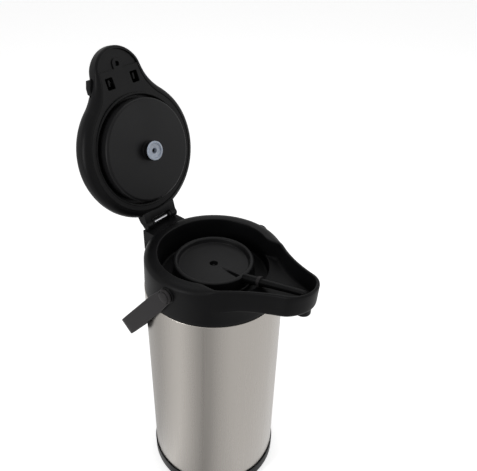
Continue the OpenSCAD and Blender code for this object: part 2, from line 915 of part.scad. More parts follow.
// Lid screw: holds the panel's tongue to the lid's nose
module lid_screw() {
    color(bright)
        on_lid()
            translate([screw_x, 0, boss_low]) {
                cylinder(r = screw_hole_r - rest_gap, h = screw_head);
                cylinder(r = screw_r, h = screw_head + screw_l - rest_gap);
            }
}

// Bellows plate: the drum that closes the pump's chamber below
module bellows_plate() {
    r = drum_r;
    w = drum_wall;
    e = drum_edge;
    top = upstand_top + drum_flange;
    color(black)
        on_lid()
            difference() {
                rotate_extrude()
                    polygon(concat([[0, drum_z]], arc(r - e, drum_z + e, e, -90, 0, 4),
                        [[r, upstand_top], [drum_hole_r + 2, upstand_top], [drum_hole_r + 2, top],
                        [r - w, top], [r - w, drum_z + drum_floor], [0, drum_z + drum_floor]]));
                cylinder(r = nozzle_stem_r + run_fit, h = far);
            }
}

// Bellows: the folded rubber wall between the drum and the button
module bellows() {
    low = drum_z + drum_floor;
    high = button_top - button_plate;
    pitch = (high - low) / bellows_folds;
    rim = bellows_wall;
    outer = [for (i = [0:bellows_folds - 1]) each [[bellows_r - bellows_fold, low + i * pitch],
        [bellows_r, low + (i + 0.5) * pitch]]];
    color(dark)
        on_lid()
            rotate_extrude()
                polygon(concat(outer, [[bellows_r - bellows_fold, high]],
                    [[bellows_r - bellows_fold - rim, high]],
                    reversed([for (p = outer) [p.x - rim, p.y]])));
}

// Button spring: the coil inside the bellows, as a plain sleeve of its outer size
module button_spring() {
    low = drum_z + drum_floor;
    color(bright)
        on_lid() ring(spring_r - spring_t, spring_r, low, button_top - button_plate - low);
}

// Push button: the cup that is pressed to pump
module push_button() {
    r = button_r;
    low = flange_top - flange_t;
    color(grey)
        on_lid()
            rotate_extrude()
                polygon(concat([[r - button_wall, low], [r + flange_w, low], [r + flange_w, flange_top],
                    [r, flange_top]], arc(r - 3, button_top - 3, 3, 0, 90, 4), [[0, button_top],
                    [0, button_top - button_plate], [r - button_wall, button_top - button_plate]]));
}

// Intake valve: the soft disc under the button that lets air in on the return stroke
module intake_valve() {
    color(silicone)
        on_lid()
            translate([0, 0, button_top - button_plate - valve_t]) cylinder(r = valve_r, h = valve_t);
}

// Nozzle: the stub under the drum that passes the air to the stopper
module nozzle() {
    color(black)
        on_lid()
            difference() {
                union() {
                    translate([0, 0, seal_z + seal_t]) cylinder(r = nozzle_r, h = drum_z - seal_z - seal_t);
                    translate([0, 0, drum_z - nozzle_flange_t])
                        cylinder(r = nozzle_flange_r, h = nozzle_flange_t);
                    translate([0, 0, drum_z - eps]) cylinder(r = nozzle_stem_r, h = drum_floor + eps);
                }
                cylinder(r = nozzle_bore_r, h = far);
            }
}

// Nozzle seal: the soft disc that presses on the stopper's dish, held by a spigot in the nozzle
module nozzle_seal() {
    spigot_r = nozzle_bore_r - run_fit;
    top = seal_z + seal_t;
    color(silicone)
        on_lid()
            difference() {
                rotate_extrude()
                    polygon(concat([[0, seal_z]], arc(seal_r - 1, seal_z + 1, 1, -90, 0, 4),
                        [[seal_r, top], [spigot_r, top], [spigot_r, top + spigot_l], [0, top + spigot_l]]));
                cylinder(r = spigot_r - spigot_wall, h = far);
            }
}

// Nozzle valve: the soft flap in the nozzle that keeps steam out of the bellows
module nozzle_valve() {
    color(dark)
        on_lid()
            translate([0, 0, drum_z - 1]) cylinder(r = nozzle_bore_r - run_fit, h = 1.2);
}

// Release tab: the push piece on one side of the nose, with its hook over the slot
module release_tab(side) {
    out = tab_y + tab_out;
    stem = hook_in + hook_t + 6;
    half = tab_w / 2;
    hook_low = panel_z + panel_t / 2 + rise_at(tab_x + hook_w / 2);
    color(dark)
        on_lid() {
            translate([tab_x, 0, tab_z - tab_h / 2])
                linear_extrude(tab_h)
                    polygon([for (p = [[-half, stem], [half, stem], [half, tab_y], [0, out],
                        [2 - half, out], [-half, out - 2]]) [p.x, side * p.y]]);
            translate([tab_x, 0, tab_z])
                span(hook_w, tab_h - 2, hook_in, stem + eps, side);
            translate([tab_x, 0, (hook_low + tab_z) / 2])
                span(hook_w, tab_z - hook_low, hook_in, hook_in + hook_t, side);
        }
}

module release_tab_left() {
    release_tab(1);
}

module release_tab_right() {
    release_tab(-1);
}

// Tab spring: the coil behind one release tab, as a plain rod of its outer size
module tab_spring(side) {
    color(bright)
        on_lid()
            translate([tab_x, 0, tab_z]) side_rod(tab_spring_r, rib_y, hook_in - rib_y, side);
}

module tab_spring_left() {
    tab_spring(1);
}

module tab_spring_right() {
    tab_spring(-1);
}

base_cap();
foot_pad();
outer_shell();
inner_liner();
neck_gasket();
collar();
spout_nozzle();
hinge_pin();
stopper_body();
stopper_gasket();
air_valve();
dip_tube();
tube_socket();
tube_sleeve();
dispense_tube();
handle_bail();
handle_pin_left();
handle_pin_right();
lid_shell();
lid_panel();
lid_screw();
bellows_plate();
bellows();
button_spring();
push_button();
intake_valve();
nozzle();
nozzle_seal();
nozzle_valve();
release_tab_left();
release_tab_right();
tab_spring_left();
tab_spring_right();
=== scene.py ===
# %% [markdown]
# # A pump flask with its lid open
# The solids of the flask come in as a fixed frame, in metres and already in place. This lesson dresses
# them: smooth moulded plastic, brushed steel, milky silicone. The flask's sizes are written in
# millimetres, as a maker would note them, and MM turns them to metres. The studio is in metres.

# %% Load the frame
import json
from math import atan2, cos, hypot, pi, radians, sin, sqrt, tan

import bmesh
import bpy
from mathutils import Matrix, Vector


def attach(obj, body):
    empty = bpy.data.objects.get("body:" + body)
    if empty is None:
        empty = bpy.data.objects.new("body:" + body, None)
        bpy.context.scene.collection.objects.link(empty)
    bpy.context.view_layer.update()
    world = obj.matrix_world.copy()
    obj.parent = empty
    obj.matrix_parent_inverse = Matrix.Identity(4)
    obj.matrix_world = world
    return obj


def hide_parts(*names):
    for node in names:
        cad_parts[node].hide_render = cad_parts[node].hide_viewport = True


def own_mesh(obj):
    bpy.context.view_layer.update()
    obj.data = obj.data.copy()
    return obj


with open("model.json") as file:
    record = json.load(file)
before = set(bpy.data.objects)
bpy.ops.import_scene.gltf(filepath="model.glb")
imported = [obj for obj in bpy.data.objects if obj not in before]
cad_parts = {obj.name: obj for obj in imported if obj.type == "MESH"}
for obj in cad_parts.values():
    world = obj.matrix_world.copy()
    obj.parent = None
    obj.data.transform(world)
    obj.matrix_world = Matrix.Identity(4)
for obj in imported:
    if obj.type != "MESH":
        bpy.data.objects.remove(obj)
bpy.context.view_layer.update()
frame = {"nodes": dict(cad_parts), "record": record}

slots = {row["node"]: row["material_slot"] for row in frame["record"]["subparts"]}
MM = 0.001
shift = Matrix.Translation


def add_object(name, data):
    """A new object of this data, linked to the scene."""
    made = bpy.data.objects.new(name, data)
    bpy.context.scene.collection.objects.link(made)
    return made


def look(thing, place, gaze):
    """Puts a camera or lamp at a place, looking along a direction."""
    thing.location = place
    thing.rotation_mode = "QUATERNION"
    thing.rotation_quaternion = gaze.to_track_quat("-Z", "Y")


# %% [markdown]
# ## Camera
# The picture was taken from in front and to the right of the spout, looking down. A real lens and a
# small sideways shift give the same framing, so the camera comes first and every piece is judged
# through it.

# %% Camera
CAMERA_PLACE = Vector((338.973, -378.230, 685.360)) * MM
CAMERA_GAZE = Vector((-0.55228, 0.61624, -0.56146))
SENSOR_WIDTH = 36
FOCAL_LENGTH = 43.36
SIDE_SHIFT = 0.052
HEAD = Vector((0.0, 0.0, 0.33))
camera_data = bpy.data.cameras.new("photo_camera")
camera_data.sensor_width = SENSOR_WIDTH
camera_data.lens = FOCAL_LENGTH
camera_data.shift_x = SIDE_SHIFT
camera = add_object("photo_camera", camera_data)
look(camera, CAMERA_PLACE, CAMERA_GAZE)
bpy.context.scene.camera = camera
bpy.context.scene.view_settings.view_transform = "Standard"
print("camera", round((CAMERA_PLACE - HEAD).length, 3), "m from the head")

# %% [markdown]
# ## Nodes in one line
# Every finish below is a small node tree. One helper adds a node, sets its properties and fills its
# sockets, either with a value or with a link from another node. Others for sums, ranges, noise and mixed
# colours build on it. Colours are written as sRGB hex, the way a paint program shows them, and one
# function turns them to the linear values that Blender uses.

# %% Helpers for nodes and colours
def put(tree, kind, inputs=None, **settings):
    """Adds a node. inputs maps a socket's name or number to a value or to another node's output."""
    node = tree.nodes.new(kind)
    for name, value in settings.items():
        setattr(node, name, value)
    for name, value in (inputs or {}).items():
        if isinstance(value, bpy.types.NodeSocket):
            tree.links.new(value, node.inputs[name])
        else:
            node.inputs[name].default_value = value
    return node


def hex_colour(code):
    """'#rrggbb' in sRGB as linear red, green, blue and alpha."""
    parts = [int(code[i:i + 2], 16) / 255 for i in (1, 3, 5)]
    linear = [c / 12.92 if c <= 0.04045 else ((c + 0.055) / 1.055) ** 2.4 for c in parts]
    return (*linear, 1.0)


def calc(tree, operation, *values):
    """The result of a Math node on these values."""
    return put(tree, "ShaderNodeMath", dict(enumerate(values)), operation=operation).outputs[0]


def noise(tree, vector, size, detail, rough=0.5):
    """Noise with features of about this size in mm."""
    inputs = {"Vector": vector, "Scale": 1 / (size * MM), "Detail": detail, "Roughness": rough}
    return put(tree, "ShaderNodeTexNoise", inputs).outputs[0]


def spread(tree, value, low, high, to_low, to_high):
    """A value's range from low to high, mapped to the range from to_low to to_high."""
    limits = {"Value": value, 1: low, 2: high, 3: to_low, 4: to_high}
    return put(tree, "ShaderNodeMapRange", limits).outputs[0]


def blend(tree, share, first, second):
    """A mix of two hex colours: the first at a share of 0, the second at 1."""
    colours = {0: share, 6: hex_colour(first), 7: hex_colour(second)}
    return put(tree, "ShaderNodeMix", colours, data_type="RGBA").outputs[2]


def new_material(name):
    """A material with no nodes yet, and its node tree."""
    material = bpy.data.materials.new(name)
    material.use_nodes = True
    material.node_tree.nodes.clear()
    return material, material.node_tree


def principled(tree, inputs):
    """A Principled shader with these inputs, wired to the material's output."""
    shader = put(tree, "ShaderNodeBsdfPrincipled", inputs)
    put(tree, "ShaderNodeOutputMaterial", {"Surface": shader.outputs["BSDF"]})


print("linear value of mid grey #808080:", round(hex_colour("#808080")[0], 3))

# %% [markdown]
# ## Stage and light
# A catalogue picture: white all round, light from large soft boxes. The camera sees a white world and a
# floor that is lifted to white and still keeps its shadow. The steel wall mirrors the floor in front of
# it, so for mirrored rays the floor glows with a painted studio reflection: bright, with one dim painted
# wedge that no object casts. That wedge is the dark upright band on the steel.

# %% Stage and light
FLOOR_SIZE = 12.0
FLOOR_LIFT = 0.6
edge_at = FLOOR_SIZE / 2
corners = [(x * edge_at, y * edge_at, 0) for x, y in ((-1, -1), (1, -1), (1, 1), (-1, 1))]
floor_mesh = bpy.data.meshes.new("floor")
floor_mesh.from_pydata(corners, [], [(0, 1, 2, 3)])
floor = add_object("floor", floor_mesh)
floor_material, tree = new_material("pale_floor")
rays = put(tree, "ShaderNodeLightPath").outputs
lift = calc(tree, "MULTIPLY", rays["Is Camera Ray"], FLOOR_LIFT)
matt = put(tree, "ShaderNodeBsdfPrincipled", {"Base Color": hex_colour("#f4f4f4"), "Roughness": 0.8,
                                              "Emission Color": (1, 1, 1, 1), "Emission Strength": lift})
axes = put(tree, "ShaderNodeSeparateXYZ", {0: put(tree, "ShaderNodeTexCoord").outputs["Object"]}).outputs
turn = calc(tree, "ARCTAN2", axes["Y"], axes["X"])
ramp = put(tree, "ShaderNodeValToRGB", {0: spread(tree, turn, -pi, pi, 0, 1)})
# Painted reflection: direction from the flask in degrees, and how bright the floor glows there for mirrored
# rays.
PAINTED_REFLECTION = ((-180, 0.70), (-140, 0.60), (-100, 1.06), (-84, 0.82), (-60, 0.42), (-42, 0.72), (-20, 0.90),
        (57, 0.94))
stops = ramp.color_ramp.elements
for degrees, level in PAINTED_REFLECTION[1:-1]:
    stops.new((degrees + 180) / 360).color = (level, level, level, 1)
for stop, (degrees, level) in ((stops[0], PAINTED_REFLECTION[0]), (stops[-1], PAINTED_REFLECTION[-1])):
    stop.position = (degrees + 180) / 360
    stop.color = (level, level, level, 1)
# Emission seen only by mirrored rays: the painted reflection, whose dim wedge is painted shade on the steel.
studio = put(tree, "ShaderNodeEmission", {"Color": ramp.outputs[0], "Strength": 1.0})
either = put(tree, "ShaderNodeMixShader", {0: rays["Is Glossy Ray"], 1: matt.outputs[0],
                                           2: studio.outputs[0]})
put(tree, "ShaderNodeOutputMaterial", {"Surface": either.outputs[0]})
floor_mesh.materials.append(floor_material)

AMBIENT = 0.34
MIRRORED = 0.80
world = bpy.data.worlds.new("studio")
bpy.context.scene.world = world
world.use_nodes = True
tree = world.node_tree
tree.nodes.clear()
rays = put(tree, "ShaderNodeLightPath").outputs
seen = calc(tree, "MAXIMUM", rays["Is Camera Ray"], rays["Is Transmission Ray"])
plain = calc(tree, "MULTIPLY_ADD", seen, 1 - AMBIENT, AMBIENT)
glow = calc(tree, "MULTIPLY_ADD", rays["Is Glossy Ray"], MIRRORED - AMBIENT, plain)
sky = put(tree, "ShaderNodeBackground", {"Color": (1, 1, 1, 1), "Strength": glow})
put(tree, "ShaderNodeOutputWorld", {"Surface": sky.outputs[0]})


def soft_box(name, place, width, height, watts):
    """A rectangular lamp at a place, turned towards the head; all in metres and watts."""
    data = bpy.data.lights.new(name, "AREA")
    data.shape = "RECTANGLE"
    data.size = width
    data.size_y = height
    data.energy = watts
    look(add_object(name, data), place, HEAD - Vector(place))


soft_box("top_box", (-0.4, 0.5, 1.9), 1.2, 1.2, 5)
soft_box("left_box", (-0.3, -1.7, 0.8), 0.3, 1.2, 11)
soft_box("right_box", (1.2, 0.9, 0.9), 0.7, 1.2, 5)

# %% [markdown]
# ## Shapes from rings
# Nearly all of the flask is turned or lofted: a row of closed rings, joined ring to ring by faces. A
# shape here is a list of points in millimetres and a list of faces, so that it can be moved, joined
# and only at the end be made a Blender mesh.

# %% Shapes from rings
def loft(rings, closed=False):
    """A shape from rings of points. A ring of one point is a pole. closed joins the last to the first."""
    points, starts, faces = [], [], []
    for ring in rings:
        starts.append(len(points))
        points.extend(Vector(p) for p in ring)
    pairs = [(k, k + 1) for k in range(len(rings) - 1)]
    if closed:
        pairs.append((len(rings) - 1, 0))
    for a, b in pairs:
        size = max(len(rings[a]), len(rings[b]))
        for i in range(size):
            j = (i + 1) % size
            corner = []
            for ring, at in ((a, i), (a, j), (b, j), (b, i)):
                index = starts[ring] + (at if len(rings[ring]) > 1 else 0)
                if index not in corner:
                    corner.append(index)
            if len(corner) > 2:
                faces.append(tuple(corner))
    return points, faces


def quarter(steps):
    """The angles of a quarter turn in equal steps, both ends included."""
    return [radians(90 * k / steps) for k in range(steps + 1)]


def arc(radius, first, last, step):
    """Flat points on a circle round the origin, from one angle to another in degrees."""
    turns = [radians(first + step * k) for k in range(round((last - first) / step) + 1)]
    return [(radius * cos(t), radius * sin(t)) for t in turns]


def round_ring(turns, radius, height):
    """A ring round the z axis with a point at each of these angles."""
    return [(radius * cos(t), radius * sin(t), height) for t in turns]


def circle(radius, height, steps):
    """A ring of evenly spaced points round the z axis, or a single pole."""
    if radius < 1e-6:
        return [(0, 0, height)]
    turn = 2 * pi / steps
    return round_ring([i * turn for i in range(steps)], radius, height)


def lathe(profile, steps=128, closed=False):
    """A turned shape from (radius, height) points, from the bottom pole outwards and up."""
    return loft([circle(r, z, steps) for r, z in profile], closed)


def rounded(corners, arc_steps=5):
    """A profile from (x, y, radius) corners, with a true arc of that radius at each inner corner."""
    out = [corners[0][:2]]
    for before, here, after in zip(corners, corners[1:], corners[2:]):
        p = Vector(here[:2])
        to_a = Vector(before[:2]) - p
        to_b = Vector(after[:2]) - p
        radius = here[2] if len(here) > 2 else 0
        bend = to_a.angle(to_b) if to_a.length > 1e-6 and to_b.length > 1e-6 else pi
        if radius < 1e-6 or bend > pi - 0.02:
            out.append(tuple(p))
            continue
        cut = min(radius / tan(bend / 2), to_a.length * 0.49, to_b.length * 0.49)
        a = p + to_a.normalized() * cut
        b = p + to_b.normalized() * cut
        weight = sin(bend / 2)
        for k in range(arc_steps + 1):
            s = k / arc_steps
            parts = ((1 - s) ** 2, 2 * s * (1 - s) * weight, s ** 2)
            out.append(tuple((a * parts[0] + p * parts[1] + b * parts[2]) / sum(parts)))
    out.append(corners[-1][:2])
    return out


def turned_ring(corners, arc_steps, steps):
    """A turned ring from the (radius, height, rounding) corners of its closed profile."""
    return lathe(rounded(corners + corners[:1], arc_steps)[:-1], steps, closed=True)


def round_box(half_x, half_y, radius, arc_steps):
    """A closed rectangle round the origin with rounded corners, begun in the middle of a side."""
    sides = ((1, -1), (1, 1), (-1, 1), (-1, -1))
    corners = [(0, -half_y)] + [(x * half_x, y * half_y, radius) for x, y in sides] + [(0, -half_y)]
    return rounded(corners, arc_steps)[:-1]


def moved(shape, matrix):
    points, faces = shape
    return [matrix @ p for p in points], faces


def joined(*shapes):
    points, faces = [], []
    for more, more_faces in shapes:
        start = len(points)
        points.extend(more)
        faces.extend(tuple(start + i for i in f) for f in more_faces)
    return points, faces


def prism(loop, *ends):
    """A straight sweep of a closed loop of (u, v) points, placed by a matrix at each of its two ends."""
    points, faces = loft([[end @ Vector((u, v, 0)) for u, v in loop] for end in ends])
    count = len(loop)
    return points, faces + [tuple(reversed(range(count))), tuple(range(count, 2 * count))]


SHARP = radians(38)


def smoothed(mesh, sharp=SHARP):
    """The same mesh, smoothly shaded but for edges sharper than an angle."""
    mesh.polygons.foreach_set("use_smooth", [True] * len(mesh.polygons))
    mesh.set_sharp_from_angle(angle=sharp)
    return mesh


def mesh_from(name, shape, sharp=SHARP):
    """A Blender mesh in metres from a shape in millimetres, closed, outward and smoothly shaded."""
    points, faces = shape
    mesh = bpy.data.meshes.new(name)
    mesh.from_pydata([p * MM for p in points], [], faces)
    work = bmesh.new()
    work.from_mesh(mesh)
    bmesh.ops.remove_doubles(work, verts=work.verts, dist=0.002 * MM)
    bmesh.ops.dissolve_degenerate(work, edges=work.edges, dist=0.001 * MM)
    bmesh.ops.recalc_face_normals(work, faces=work.faces)
    work.to_mesh(mesh)
    work.free()
    return smoothed(mesh, sharp)


def piece(name, shape, material, body, node):
    """An object of a shape or mesh, with its finish, that rides on a CAD body in place of a CAD node."""
    mesh = shape if isinstance(shape, bpy.types.Mesh) else mesh_from(name, shape)
    mesh.materials.clear()
    mesh.materials.append(material)
    made = add_object(name, mesh)
    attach(made, body)
    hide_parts(node)
    return made


def evaluated(holder):
    """The mesh of an object after its modifiers. The object itself is removed."""
    bpy.context.view_layer.update()
    graph = bpy.context.evaluated_depsgraph_get()
    mesh = bpy.data.meshes.new_from_object(holder.evaluated_get(graph))
    bpy.data.objects.remove(holder)
    return mesh


def with_modifiers(data, *modifiers):
    """A new mesh: a mesh or curve after a row of (kind, settings) modifiers."""
    holder = add_object("holder", data)
    for kind, settings in modifiers:
        modifier = holder.modifiers.new(kind.lower(), kind)
        for key, value in settings.items():
            setattr(modifier, key, value)
    return evaluated(holder)


def shape_of(mesh):
    """A mesh in metres as a shape in millimetres."""
    return [v.co / MM for v in mesh.vertices], [tuple(f.vertices) for f in mesh.polygons]


def softened(node, width):
    """A copy of a CAD node's mesh with every sharp edge broken by a small round of this width in mm."""
    mesh = frame["nodes"][node].data.copy()
    mesh.name = node + "_soft"
    work = bmesh.new()
    work.from_mesh(mesh)
    bmesh.ops.remove_doubles(work, verts=work.verts, dist=0.004 * MM)
    bmesh.ops.dissolve_limit(work, angle_limit=radians(1.0), verts=work.verts, edges=work.edges)
    work.to_mesh(mesh)
    work.free()
    bevel = {"width": width * MM, "segments": 3, "limit_method": "ANGLE",
             "angle_limit": radians(32), "harden_normals": False, "use_clamp_overlap": True}
    return smoothed(with_modifiers(mesh, ("BEVEL", bevel)))


print("shape helpers ready")

# %% [markdown]
# ## Moulded plastic
# The head, lid and stopper are ABS, moulded in a tool whose walls were spark-eroded. That leaves a fine
# dull grain: the piece is near black, with a wide soft sheen and no mirror image. The grain is about
# 0.3 mm on the real thing. It is drawn at 0.8 mm here, because anything finer vanishes in the picture.
# Handled edges are rubbed a little lighter, which the pointiness of the surface finds.

# %% Moulded plastic
CLOUD = 45.0
EDGE_FROM = 0.53
EDGE_FULL = 0.62
EDGE_WEAR = 0.5
CLOUD_WEAR = 0.25


def moulded_plastic(name, colour, worn, rough, grain, depth, shine):
    """Satin plastic: two sRGB hex colours, grain and depth in mm, shine as the specular level."""
    material, tree = new_material(name)
    place = put(tree, "ShaderNodeTexCoord").outputs["Object"]
    fine = noise(tree, place, grain, 3.0)
    cloud = noise(tree, place, CLOUD, 4.0)
    point = put(tree, "ShaderNodeNewGeometry").outputs["Pointiness"]
    edge = spread(tree, point, EDGE_FROM, EDGE_FULL, 0.0, EDGE_WEAR)
    wear = calc(tree, "ADD", edge, spread(tree, cloud, 0.3, 0.7, 0.0, CLOUD_WEAR))
    gloss = spread(tree, cloud, 0.25, 0.75, rough - 0.05, rough + 0.06)
    bump = put(tree, "ShaderNodeBump", {"Strength": 0.5, "Distance": depth * MM, "Height": fine})
    principled(tree, {"Base Color": blend(tree, wear, colour, worn), "Roughness": gloss,
                      "Normal": bump.outputs[0], "IOR": 1.53, "Specular IOR Level": shine})
    return material


black_abs = moulded_plastic("black_abs_spark_eroded", "#0c0c0d", "#151516", 0.40, 0.8, 0.05, 0.10)
drum_abs = moulded_plastic("black_abs_fine_matt", "#131314", "#1c1c1d", 0.46, 0.8, 0.05, 0.15)
grey_pp = moulded_plastic("dark_grey_polypropylene", "#272526", "#323031", 0.5, 0.9, 0.06, 0.16)
print("plastics:", black_abs.name, drum_abs.name, grey_pp.name)

# %% [markdown]
# ## Brushed steel
# The bottle is stainless steel, rolled and brushed up and down with a fine belt. The scratches are far
# too fine to see one by one, so they are drawn as streaks a few millimetres wide that change the
# roughness and, very slightly, the tone. They depend on the angle round the axis and hardly on height.

# %% Brushed steel
STRETCH = 0.02
SCRATCH = 0.05


def brushed_steel(name, colour, shade, rough, streak):
    """Steel with upright streaks of about this width in mm round the z axis."""
    material, tree = new_material(name)
    place = put(tree, "ShaderNodeTexCoord").outputs["Object"]
    long = put(tree, "ShaderNodeMapping", {"Vector": place, "Scale": (1, 1, STRETCH)})
    lines = noise(tree, long.outputs[0], streak, 6.0, 0.7)
    gloss = spread(tree, lines, 0.3, 0.7, rough - 0.05, rough + 0.07)
    bump = put(tree, "ShaderNodeBump", {"Strength": 0.06, "Distance": SCRATCH * MM, "Height": lines})
    principled(tree, {"Base Color": blend(tree, lines, shade, colour), "Roughness": gloss,
                      "Normal": bump.outputs[0], "Metallic": 1.0})
    return material


steel = brushed_steel("stainless_steel_brushed", "#b7b2ac", "#b2ada7", 0.28, 5.0)
bright = brushed_steel("steel_wire_drawn", "#9a9a9c", "#868688", 0.22, 2.0)
# Dark steel for the lid's screw: painted shade that stands for the shade deep in the screw's hole.
recess_shade_steel = brushed_steel("steel_painted_recess_shade", "#39393b", "#2c2c2e", 0.4, 2.0)
print("steels:", steel.name, bright.name, recess_shade_steel.name)

# %% [markdown]
# ## Rubber and silicone
# The foot and the bellows are black rubber: dull, with a slight bloom. The cap on the nozzle and the
# rings are clear silicone, which scatters light inside and so looks like thin milk with a blue cast.

# %% Rubber and silicone
HAZE = 4.0
black_rubber = moulded_plastic("black_rubber_bloomed", "#131314", "#1e1e1f", 0.75, 1.2, 0.08, 0.16)
silicone, tree = new_material("milky_silicone")
place = put(tree, "ShaderNodeTexCoord").outputs["Object"]
haze = noise(tree, place, HAZE, 3.0)
principled(tree, {"Base Color": blend(tree, haze, "#a3adbe", "#c6ced9"),
                  "Roughness": spread(tree, haze, 0, 1, 0.28, 0.42), "IOR": 1.41, "Subsurface Weight": 0.35,
                  "Subsurface Radius": (0.8, 0.9, 1.0), "Subsurface Scale": 2 * MM})
print("soft finishes:", black_rubber.name, silicone.name)

# %% [markdown]
# ## Bottle and base
# Both are turned shapes. The steel wall runs from inside the base cap to a small round at the top,
# where it goes in under the head. The base cap has a soft lower edge, and the foot pad three shallow
# grooves, as such pads have.

# %% Bottle and base
STEEL_R = 78.0
STEEL_T = 0.8
STEEL_LOW = 6.0
HEAD_Z = 280.0
NECK_R = 44.0
NECK_TOP = 290.0
BASE_R = 79.4
BASE_LOW = 1.0
BASE_TOP = 18.0
PAD_R = 66.0
PAD_T = 3.0
PAD_GROOVES = (24, 40, 56)
GROOVE_DEPTH = 0.8
FIT_GAP = 0.3
neck_in, steel_in, floor_in = NECK_R - STEEL_T, STEEL_R - STEEL_T, STEEL_LOW + STEEL_T
wall_profile = rounded([(0, STEEL_LOW), (STEEL_R, STEEL_LOW, 4), (STEEL_R, HEAD_Z, 0.6), (72.5, HEAD_Z),
                        (NECK_R, 284), (NECK_R, NECK_TOP)], 8)
steel_inside = [(neck_in, NECK_TOP), (neck_in, 283.2), (72.3, 279.2), (steel_in, 277.5), (steel_in, 10),
                (74, floor_in), (0, floor_in)]
piece("bottle_wall", lathe(wall_profile + steel_inside, 192), steel, "flask", "outer_shell")

pad_hole, steel_seat = PAD_R + FIT_GAP, STEEL_R + FIT_GAP
cap_profile = rounded([(0, PAD_T), (pad_hole, PAD_T), (pad_hole, BASE_LOW), (BASE_R, BASE_LOW, 3),
                       (BASE_R, BASE_TOP, 1.2), (steel_seat, BASE_TOP), (steel_seat, STEEL_LOW),
                       (0, STEEL_LOW)], 6)
piece("base_ring", lathe(cap_profile, 160), black_abs, "flask", "base_cap")

pad_corners = [(0, 0)]
for middle in PAD_GROOVES:
    pad_corners += [(middle - 2, 0, 0.3), (middle - 1.5, GROOVE_DEPTH), (middle + 1.5, GROOVE_DEPTH),
                    (middle + 2, 0, 0.3)]
pad_corners += [(PAD_R, 0, 0.5), (PAD_R, PAD_T, 0.2), (0, PAD_T)]
piece("foot_disc", lathe(rounded(pad_corners, 3), 128), black_rubber, "flask", "foot_pad")
print("bottle, base and foot made")

# %% [markdown]
# ## The drop outline
# Seen from above, the head and the lid are both drops: a round body, a round tip and two hollow flanks
# that touch both. An outline is kept as arcs, so that the same drop can be drawn again a little smaller
# by changing the radii, and every sample stays opposite its partner. That is what a wall needs.

# %% The drop outline
def drop(body_r, tip_x, tip_r, flank_r, counts=(180, 44, 48)):
    """Samples (sign, centre x, centre y, radius, angle) of a drop, from the tip round by +Y and back."""
    a, b = body_r + flank_r, tip_r + flank_r
    cx = (a * a - b * b + tip_x * tip_x) / (2 * tip_x)
    cy = sqrt(a * a - cx * cx)
    on_body = atan2(cy, cx)
    on_tip = atan2(cy, cx - tip_x)
    first = atan2(-cy, tip_x - cx)
    last = atan2(-cy, -cx)
    n_body, n_flank, n_tip = counts
    half_tip = n_tip // 2
    upper = [(1, tip_x, 0, tip_r, on_tip * i / half_tip) for i in range(half_tip)]
    upper += [(-1, cx, cy, flank_r, first + (last - first) * i / n_flank) for i in range(n_flank)]
    back = 2 * pi - 2 * on_body
    body = [(1, 0, 0, body_r, on_body + back * i / n_body) for i in range(n_body + 1)]
    lower = [(s, x, -y, r, -angle) for s, x, y, r, angle in reversed(upper)]
    return upper + body + lower[:-1]


def outline(samples, inset=0.0):
    """Plan points of a drop, moved inwards by inset (one number, or one for each sample)."""
    insets = inset if isinstance(inset, list) else [inset] * len(samples)
    return [(x + (r - s * d) * cos(t), y + (r - s * d) * sin(t))
            for (s, x, y, r, t), d in zip(samples, insets)]


def smooth_step(value, low, high):
    t = min(1.0, max(0.0, (value - low) / (high - low)))
    return t * t * (3 - 2 * t)


RIM_R = 76.0
RIM_Z = 43.5
RISE_FROM = 40.0
SLOPE = 12.5 / 90
SOFT_BEND = 14.0
SETTLE = 0.12
SPOUT_X = 104.0
SPOUT_TIP_R = 26.0
SPOUT_FLANK_R = 190.0


def rise(x):
    """How far the rim has climbed at x: level at the back, then a soft bend into the spout's slope."""
    t = x - RISE_FROM
    return SLOPE * 0.5 * (t + sqrt(t * t + SOFT_BEND * SOFT_BEND)) - SETTLE


head_drop = drop(RIM_R, SPOUT_X, SPOUT_TIP_R, SPOUT_FLANK_R)
print("samples round the head:", len(head_drop))

# %% [markdown]
# ## Plan of the head's inside
# Inside the rim lies the round well. In front it opens into the trough, which runs one wall inside the
# spout and is no wider than its mouth. Each sample of the outside gets a partner on the inside, given by
# its direction and its distance from the axis. A few passes of averaging round the mouth's corners.

# %% Plan of the head's inside
WELL_R = 61.3
MOUTH_HALF = 53.0
SPOUT_WALL = 3.5
outer_plan = outline(head_drop)
outer_turn = [atan2(y, x) for x, y in outer_plan]
inner_turn, reach = [], []
for x, y in outline(head_drop, SPOUT_WALL):
    turn = atan2(y, x)
    away = hypot(x, y) if x > 0 else WELL_R
    if abs(y) > MOUTH_HALF:
        away = min(away, MOUTH_HALF / abs(sin(turn)))
    inner_turn.append(turn)
    reach.append(max(WELL_R, away))
for again in range(4):
    reach = [(reach[i - 1] + 2 * reach[i] + reach[(i + 1) % len(reach)]) / 4 for i in range(len(reach))]
inner_plan = [(r * cos(t), r * sin(t)) for r, t in zip(reach, inner_turn)]
open_by = [r - WELL_R for r in reach]
out_by = [max(0.0, hypot(x, y) - RIM_R) for x, y in outer_plan]
wall_by = [(Vector(a) - Vector(b)).length for a, b in zip(inner_plan, outer_plan)]
tip_share = [smooth_step(x, 108, 129) for x, y in outer_plan]
print("wall from", round(min(wall_by), 1), "to", round(max(wall_by), 1), "mm")

# %% [markdown]
# ## Head with its spout
# The head is one loft, ring by ring: up the inside of the well, out along the trough's floor, up its
# wall, over the rim, down the outside, in along the spout's underside and down to the steel. Where
# there is no spout, the rings of the floor and the underside simply lie on the wall. The rim is crowned
# wide and low at the back, and the spout's front leans in a little on its way down.

